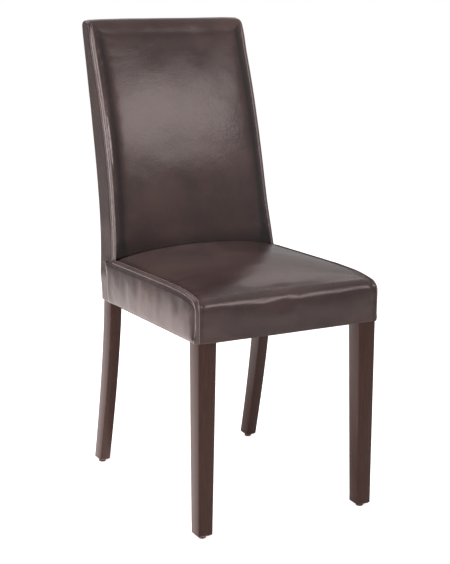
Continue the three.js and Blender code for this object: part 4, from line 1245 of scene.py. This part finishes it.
# Soft boxes as (place, aim, width, height, watts, colour, whether they are seen in reflections)
lamps = dict(
    overhead=((0.2, -0.3, 2.8), (0, 0, 0.4), 2.0, 2.0, 42, "#fff3f1", False),
    frontRight=((0.90, -1.95, 1.95), (0, 0.18, 0.8), 1.30, 0.80, 16, "#fff0ee", True),
    frontLeft=((-1.85, -1.50, 1.65), (-0.15, 0.1, 0.8), 0.7, 2.4, 58, "#fff0ee", True),
    left=((-2.30, 0.60, 0.70), (0, 0, 0.4), 1.2, 1.2, 14, "#ffefed", False),
    lowLeft=((-0.75, 1.30, 0.004), (-0.75, 1.30, 1.0), 1.2, 3.2, 14.2, "#ffefed", True),
    rearRight=((1.40, 2.40, 2.30), (0, -0.1, 0.5), 2.2, 0.35, 4, "#ffeeee", True),
    rearLeft=((-0.9, 2.3, 2.9), (0, 0, 0.6), 1.6, 1.2, 10, "#fff3f1", True),
)


def addLamps():
    for name, (place, aim, width, height, watts, colour, mirrored) in lamps.items():
        data = bpy.data.lights.new(name, "AREA")
        data.shape = "RECTANGLE"
        data.size, data.size_y = width, height
        data.energy = watts
        data.color = linear(colour)[:3]
        lamp = addObject(name, data)
        turn = (Vector(aim) - Vector(place)).to_track_quat("-Z", "Y")
        lamp.matrix_world = Matrix.Translation(place) @ turn.to_matrix().to_4x4()
        lamp.visible_camera = False
        lamp.visible_glossy = mirrored


surround = dict(left=0.24, right=0.44, floor="#e9e8e6", floorGlow=0.74, size=8, mirrored=0.08)


def seenWhite(tree):
    # 1 for the camera and through glass, a little in reflections, as in a dim studio, and 0 for other light
    path = addNode(tree, "LightPath")
    direct = addNode(tree, "Math", {"operation": "ADD"},
                     {0: path.outputs["Is Camera Ray"], 1: path.outputs["Is Transmission Ray"]})
    share = addNode(tree, "Math", {"operation": "MULTIPLY_ADD", 1: surround["mirrored"]},
                    {0: path.outputs["Is Glossy Ray"], 2: direct})
    return share


def addSurround():
    # White for the camera; for the chair a room that is darker to the left
    world = bpy.data.worlds.new("studio")
    bpy.context.scene.world = world
    world.use_nodes = True
    tree = world.node_tree
    tree.nodes.clear()
    seen = addNode(tree, "Background", {"Color": "#ffffff", "Strength": 1.0})
    way = addNode(tree, "SeparateXYZ", links={0: addNode(tree, "TexCoord").outputs["Generated"]})
    level = addNode(tree, "MapRange",
                    {"From Min": -1.0, "To Min": surround["left"], "To Max": surround["right"]},
                    {"Value": way.outputs["X"]})
    room = addNode(tree, "Background", {"Color": "#ffffff"}, {"Strength": level})
    both = addNode(tree, "MixShader", links={0: seenWhite(tree), 1: room, 2: seen})
    addNode(tree, "OutputWorld", links={"Surface": both})


def addFloor():
    # White paper that keeps the chair's shadow, with a glow that lifts it to the background's white
    bm = bmesh.new()
    bmesh.ops.create_grid(bm, x_segments=8, y_segments=8, size=surround["size"])
    mesh = addMesh("floor", bm)
    floor = addObject("floor", mesh)
    material, tree, _ = newMaterial("studioFloor")
    paper = addNode(tree, "BsdfDiffuse", {"Color": surround["floor"]})
    glow = addNode(tree, "Emission", {"Color": "#ffffff", "Strength": surround["floorGlow"]})
    lit = addNode(tree, "AddShader", links={0: paper, 1: glow})
    shown = addNode(tree, "MixShader", links={0: seenWhite(tree), 1: paper, 2: lit})
    addNode(tree, "OutputMaterial", links={"Surface": shown})
    mesh.materials.append(material)


addCamera()
addLamps()
addSurround()
addFloor()
bpy.context.scene.view_settings.view_transform = "Standard"
print("camera, lamps and floor set")
